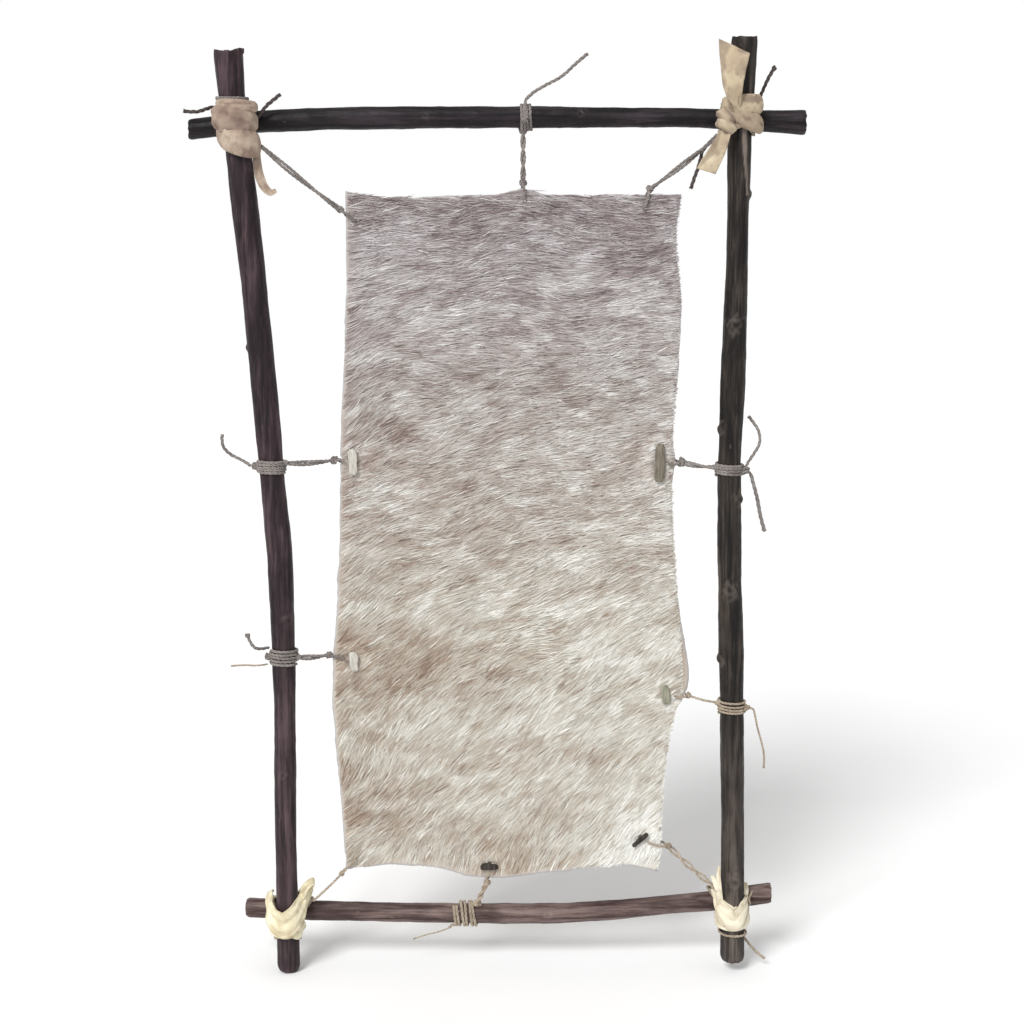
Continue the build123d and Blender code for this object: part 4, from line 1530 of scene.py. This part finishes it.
def inside(x, z, margin):
    """Whether points are inside the hide by a margin, or out past its edge by less than -margin."""
    crossings = np.zeros(len(x), int)
    nearest = np.full(len(x), 1e9)
    for (x0, z0), (x1, z1) in zip(OUTLINE, np.roll(OUTLINE, -1, axis=0)):
        spans = (z0 > z) != (z1 > z)
        with np.errstate(divide="ignore", invalid="ignore"):
            at = x0 + (z - z0) / (z1 - z0) * (x1 - x0)
        crossings += spans & (x < at)
        run = np.array([x1 - x0, z1 - z0])
        share = np.clip(((x - x0) * run[0] + (z - z0) * run[1]) / (run @ run), 0, 1)
        nearest = np.minimum(nearest, np.hypot(x - x0 - share * run[0], z - z0 - share * run[1]))
    within = np.where(crossings % 2 == 1, nearest, -nearest)
    return within > margin


# How far round its hole each toggle needs the hair short and low.
TOGGLE_ROOM = {
    "left_upper": 15, "left_lower": 13, "right_upper": 22, "right_lower": 13,
    "bottom_centre": 12, "bottom_right": 13,
}


def strand_roots(count, rng):
    """Places on the hide clear of its edge and its holes."""
    west, east, low, high = HAIR_AREA
    x = rng.uniform(west, east, int(count * 1.2))
    z = rng.uniform(low, high, int(count * 1.2))
    fits = inside(x, z, 0.3)
    for hole_x, hole_z in HOLES.values():
        fits &= np.hypot(x - hole_x, z - hole_z) > HOLE_R + 1.0
    return x[fits][:count], z[fits][:count]


def trimmed_lengths(x, z, angle, rng):
    """Lengths of strands, shortened until no tip hangs far over the edge."""
    length = rng.uniform(*HAIR_LENGTH, len(x)) * np.where(clean_patch(x, z) > 0.4, 0.8, 1)
    overhang = rng.uniform(*OVERHANG, len(x))
    for _ in range(7):
        fits = inside(x + np.cos(angle) * length, z + np.sin(angle) * length, -overhang)
        length = np.where(fits, length, length * 0.7)
    return length


def make_room(x, z, angle, length, rise):
    """Shorter and lower strands near the toggles, and which strands clear their loops."""
    cos = np.cos(angle)
    sin = np.sin(angle)
    for name, room in TOGGLE_ROOM.items():
        hole_x, hole_z = HOLES[name]
        close = np.hypot(x + cos * length / 2 - hole_x, z + sin * length / 2 - hole_z) < room + 8
        length = np.where(close, length * 0.7, length)
        rise = np.where(close, np.minimum(rise, LOW_HAIR), rise)
    clear = np.ones(len(x), bool)
    for name in TOGGLE_ROOM:
        to_x = HOLES[name][0] - x
        to_z = HOLES[name][1] - z
        along = np.clip(to_x * cos + to_z * sin, 0, length)
        clear &= np.hypot(to_x - along * cos, to_z - along * sin) > CLEAR_OF_LOOP
    return length, rise, clear


def strand_points(x, z, angle, length, rise, thick, rng):
    """Seven points and tones for each flat tapered strand."""
    count = len(x)
    way = np.stack([np.cos(angle), np.zeros(count), np.sin(angle)], -1)
    side = np.stack([-np.sin(angle), np.zeros(count), np.cos(angle)], -1)
    base = np.stack([x, SKIN_FRONT + hide_wave(x, z) * 0.9 + 0.1, z], -1)
    curl = rng.normal(0, 1.0, count) * length * 0.045
    width = rng.uniform(0.7, 1.3, count) * thick
    flat = swing(rng.normal(0, 0.35, count), side, np.array(FRONTWARD))
    tone = hair_tone(x, z, rng)
    points = []
    tones = []
    for share, lift, wide in STRAND:
        middle = base + way * (length * share)[:, None] + side * (curl * share**2)[:, None]
        middle = middle + np.array(FRONTWARD) * (rise * lift)[:, None]
        half = flat * (width * wide / 2)[:, None]
        made = [middle - half, middle + half] if wide else [middle]
        points += made
        tones += [tone + 0.10 * (share - 0.45)] * len(made)
    return np.stack(points, 1), np.stack(tones, 1)


def add_bake_layer(mesh, points):
    """Texture coordinates laid flat over the hide, 0.76 m to the tile."""
    corners_at = np.zeros(len(mesh.loops), np.int32)
    mesh.loops.foreach_get("vertex_index", corners_at)
    spots = points[corners_at]
    layer = mesh.uv_layers.new(name="OFBake")
    uv = np.stack([(spots[:, 0] + 180) / 760, (spots[:, 2] + 790) / 760], -1)
    layer.data.foreach_set("uv", uv.astype(np.float32).ravel())


def fur_piece(number, count, seed, lift_low, lift_high, thick, fineness):
    """One layer of hair lying along the comb."""
    rng = np.random.default_rng(seed)
    x, z = strand_roots(count, rng)
    angle = comb(x, z) + rng.normal(0, 0.13, len(x))
    length = trimmed_lengths(x, z, angle, rng)
    rise = rng.uniform(lift_low, lift_high, len(x))
    length, rise, clear = make_room(x, z, angle, length, rise)
    x, z, angle, length, rise = (values[clear] for values in (x, z, angle, length, rise))
    points, tones = strand_points(x, z, angle, length, rise, thick, rng)
    base = np.arange(len(x))[:, None] * 7
    quads = np.concatenate([base + [0, 1, 3, 2], base + [2, 3, 5, 4]])
    points = points.reshape(-1, 3)
    name = f"hide_hair_{number}"
    mesh = new_mesh(name, points, [quads, base + [4, 5, 6]])
    paint(mesh, "tone", tones)
    add_bake_layer(mesh, points)
    return place(name, mesh, hair_material(f"hair_{number}", fineness))


skin = skin_piece()
fur = [fur_piece(number, *layer) for number, layer in enumerate(FUR_LAYERS, 1)]


# ---------------------------------------------------------------- toggles
PALE_WOOD = toggle_material("toggle_pale", (150, 146, 136), (188, 184, 174), (212, 208, 198))
GREEN_WOOD = toggle_material("toggle_green", (86, 80, 68), (116, 110, 97), (140, 133, 118))
SAGE_WOOD = toggle_material("toggle_sage", (104, 104, 90), (140, 140, 122), (164, 162, 146))
BLACK_WOOD = toggle_material("toggle_black", (34, 30, 28), (56, 50, 46), (84, 76, 70))

# Length, width, thickness, lean from upright in degrees, wood, twine of its loop.
TOGGLES = {
    "left_upper": (25, 8.4, 3.0, 0, PALE_WOOD, GREY_TWINE),
    "left_lower": (20, 8.2, 3.0, 5, PALE_WOOD, TAN_TWINE),
    "right_upper": (37.5, 9.6, 3.4, -2, GREEN_WOOD, GREY_TWINE),
    "right_lower": (19, 9.0, 3.2, 12, SAGE_WOOD, TAN_TWINE),
    "bottom_centre": (17.5, 7.0, 3.6, 92, BLACK_WOOD, TAN_TWINE),
    "bottom_right": (20, 4.6, 4.4, -48, BLACK_WOOD, TAN_TWINE),
}
TOGGLE_RINGS = 22
TOGGLE_SIDES = 14
SQUARENESS = 0.65          # 1 gives a toggle an oval section, and less a squarer one
LOOP_D = 1.8


def whittled_points(centre, length, width, thick, lean, seed):
    """Rings of points of an irregular flat bar with knife facets, then the tips of its ends."""
    rng = np.random.default_rng(seed)
    share = np.linspace(-1, 1, TOGGLE_RINGS)
    end_wide = np.clip(1 - np.abs(share) ** 14, 0.72, 1)
    end_deep = np.clip(1 - np.abs(share) ** 8, 0.45, 1)
    wide = width / 2 * end_wide * (1 + 0.10 * field(share * 10, share * 0, 4, seed))
    deep = thick / 2 * end_deep * (1 + 0.08 * field(share * 10, share * 0, 3, seed + 1))
    lean = math.radians(90 + lean)
    along = np.array([math.cos(lean), 0, math.sin(lean)])
    across = np.array([-math.sin(lean), 0, math.cos(lean)])
    bow = 0.4 * field(share * 8, 0, 5, seed + 2)
    middles = centre + along * (share * length / 2)[:, None] + across * bow[:, None]
    turn = round_turns(TOGGLE_SIDES)
    cos = (np.sign(np.cos(turn)) * np.abs(np.cos(turn)) ** SQUARENESS)[None, :, None]
    sin = (np.sign(np.sin(turn)) * np.abs(np.sin(turn)) ** SQUARENESS)[None, :, None]
    rings = middles[:, None, :] + across * wide[:, None, None] * cos
    rings = rings + np.array(FRONTWARD) * deep[:, None, None] * sin
    rings = rings.reshape(-1, 3) + rng.normal(0, 0.07, (TOGGLE_RINGS * TOGGLE_SIDES, 3))
    low = rings[:TOGGLE_SIDES].mean(0) - along * 0.4
    high = rings[-TOGGLE_SIDES:].mean(0) + along * 0.4
    return np.concatenate([rings, [low, high]])


def toggle_piece(name, length, width, thick, lean, material, seed):
    """A whittled sliver riding on its own body."""
    toggle = "toggle_" + name
    points = whittled_points(sum(box_mm(toggle)) / 2, length, width, thick, lean, seed)
    j = np.arange(TOGGLE_SIDES)
    k = (j + 1) % TOGGLE_SIDES
    tip = TOGGLE_RINGS * TOGGLE_SIDES
    last = tip - TOGGLE_SIDES
    caps = [
        np.stack([k, j, np.full(TOGGLE_SIDES, tip)], -1),
        np.stack([last + j, last + k, np.full(TOGGLE_SIDES, tip + 1)], -1),
    ]
    quads = tube_quads(TOGGLE_RINGS, TOGGLE_SIDES)
    mesh = new_mesh(toggle + "_wood", points, [quads, np.concatenate(caps)])
    place(toggle + "_wood", mesh, material, toggle, (toggle,))


def toggle_loop_piece(name, twine, seed):
    """The strands that hold a toggle, through the hole to a knot on the flesh side."""
    x, z = HOLES[name]
    loop = "toggle_loop_" + name
    low, high = box_mm(loop)
    front = low[1] + 0.4
    stop = high[1] - 3.4
    routes = [
        np.array([(x + gap, front, z), (x + gap * 1.1, HIDE_Y, z + 0.2), (x + gap, stop, z)])
        for gap in (-1.0, 1.0)
    ]
    routes.append(knot_route((x, stop, z), (0, 1, 0), 2.1, seed))
    twine_piece(loop + "_twine", routes, LOOP_D, twine, seed, "toggle_" + name, (loop,), reach=0.4)


for number, (name, (*shape, wood, twine)) in enumerate(TOGGLES.items()):
    toggle_piece(name, *shape, wood, 600 + 10 * number)
    toggle_loop_piece(name, twine, 605 + 10 * number)


# ---------------------------------------------------------------- studio
ROOM_LIGHT = 0.60          # how much of the white room lights the object
KEY_LIGHT = 2.45
KEY_SOFTNESS = 22          # degrees that the key light spans in the sky
KEY_WAY = (0.45, 0.9, -0.85)
FLOOR_HALF = 7.0
FLOOR_GAP = 0.0015         # between the uprights' feet and the floor
EYE = (0.0232, -1.9696, -0.0299)
AIM = (0.0232, 0, -0.3772)
LENS = 70.3125
SENSOR = 36


def link(name, data):
    """Puts data into the scene as an object."""
    holder = bpy.data.objects.new(name, data)
    bpy.context.scene.collection.objects.link(holder)
    return holder


def lay_floor():
    """A plain white floor."""
    mesh = bpy.data.meshes.new("floor")
    half = FLOOR_HALF
    level = float(cad_bounds[0][2]) - FLOOR_GAP
    ends = [(-half, -half, level), (half, -half, level), (half, half, level), (-half, half, level)]
    mesh.from_pydata(ends, [], [(0, 1, 2, 3)])
    floor = link("floor", mesh)
    shader = Shader("floor_white")
    speck = shader.span(shader.noise(EVEN, 3, 2), 0.3, 0.7)
    colour = shader.mix(speck, (249, 249, 249), (253, 253, 253))
    mesh.materials.append(shader.finish(colour, rough=0.95, specular=0.1))


def light_room():
    """An even white room, bright as a background and dimmer as a light, with one soft key."""
    world = bpy.data.worlds.new("room")
    world.use_nodes = True
    nodes = world.node_tree.nodes
    links = world.node_tree.links
    room = nodes["Background"]
    room.inputs[0].default_value = (1, 1, 1, 1)
    seen = nodes.new("ShaderNodeLightPath").outputs["Is Camera Ray"]
    strength = nodes.new("ShaderNodeMapRange")
    strength.inputs["To Min"].default_value = ROOM_LIGHT
    strength.inputs["To Max"].default_value = 1.0
    links.new(seen, strength.inputs["Value"])
    links.new(strength.outputs[0], room.inputs[1])
    bpy.context.scene.world = world
    key = bpy.data.lights.new("key", "SUN")
    key.energy = KEY_LIGHT
    key.angle = math.radians(KEY_SOFTNESS)
    link("key", key).rotation_euler = Vector(KEY_WAY).to_track_quat("-Z", "Y").to_euler()


def set_camera():
    """The eye, two metres off and ten degrees above the middle of the frame."""
    data = bpy.data.cameras.new("camera")
    data.sensor_width = SENSOR
    data.lens = LENS
    holder = link("camera", data)
    holder.location = EYE
    holder.rotation_euler = (Vector(AIM) - Vector(EYE)).to_track_quat("-Z", "Y").to_euler()
    bpy.context.scene.camera = holder


lay_floor()
light_room()
set_camera()
scene = bpy.context.scene
scene.view_settings.view_transform = "Standard"
scene.view_settings.look = "None"
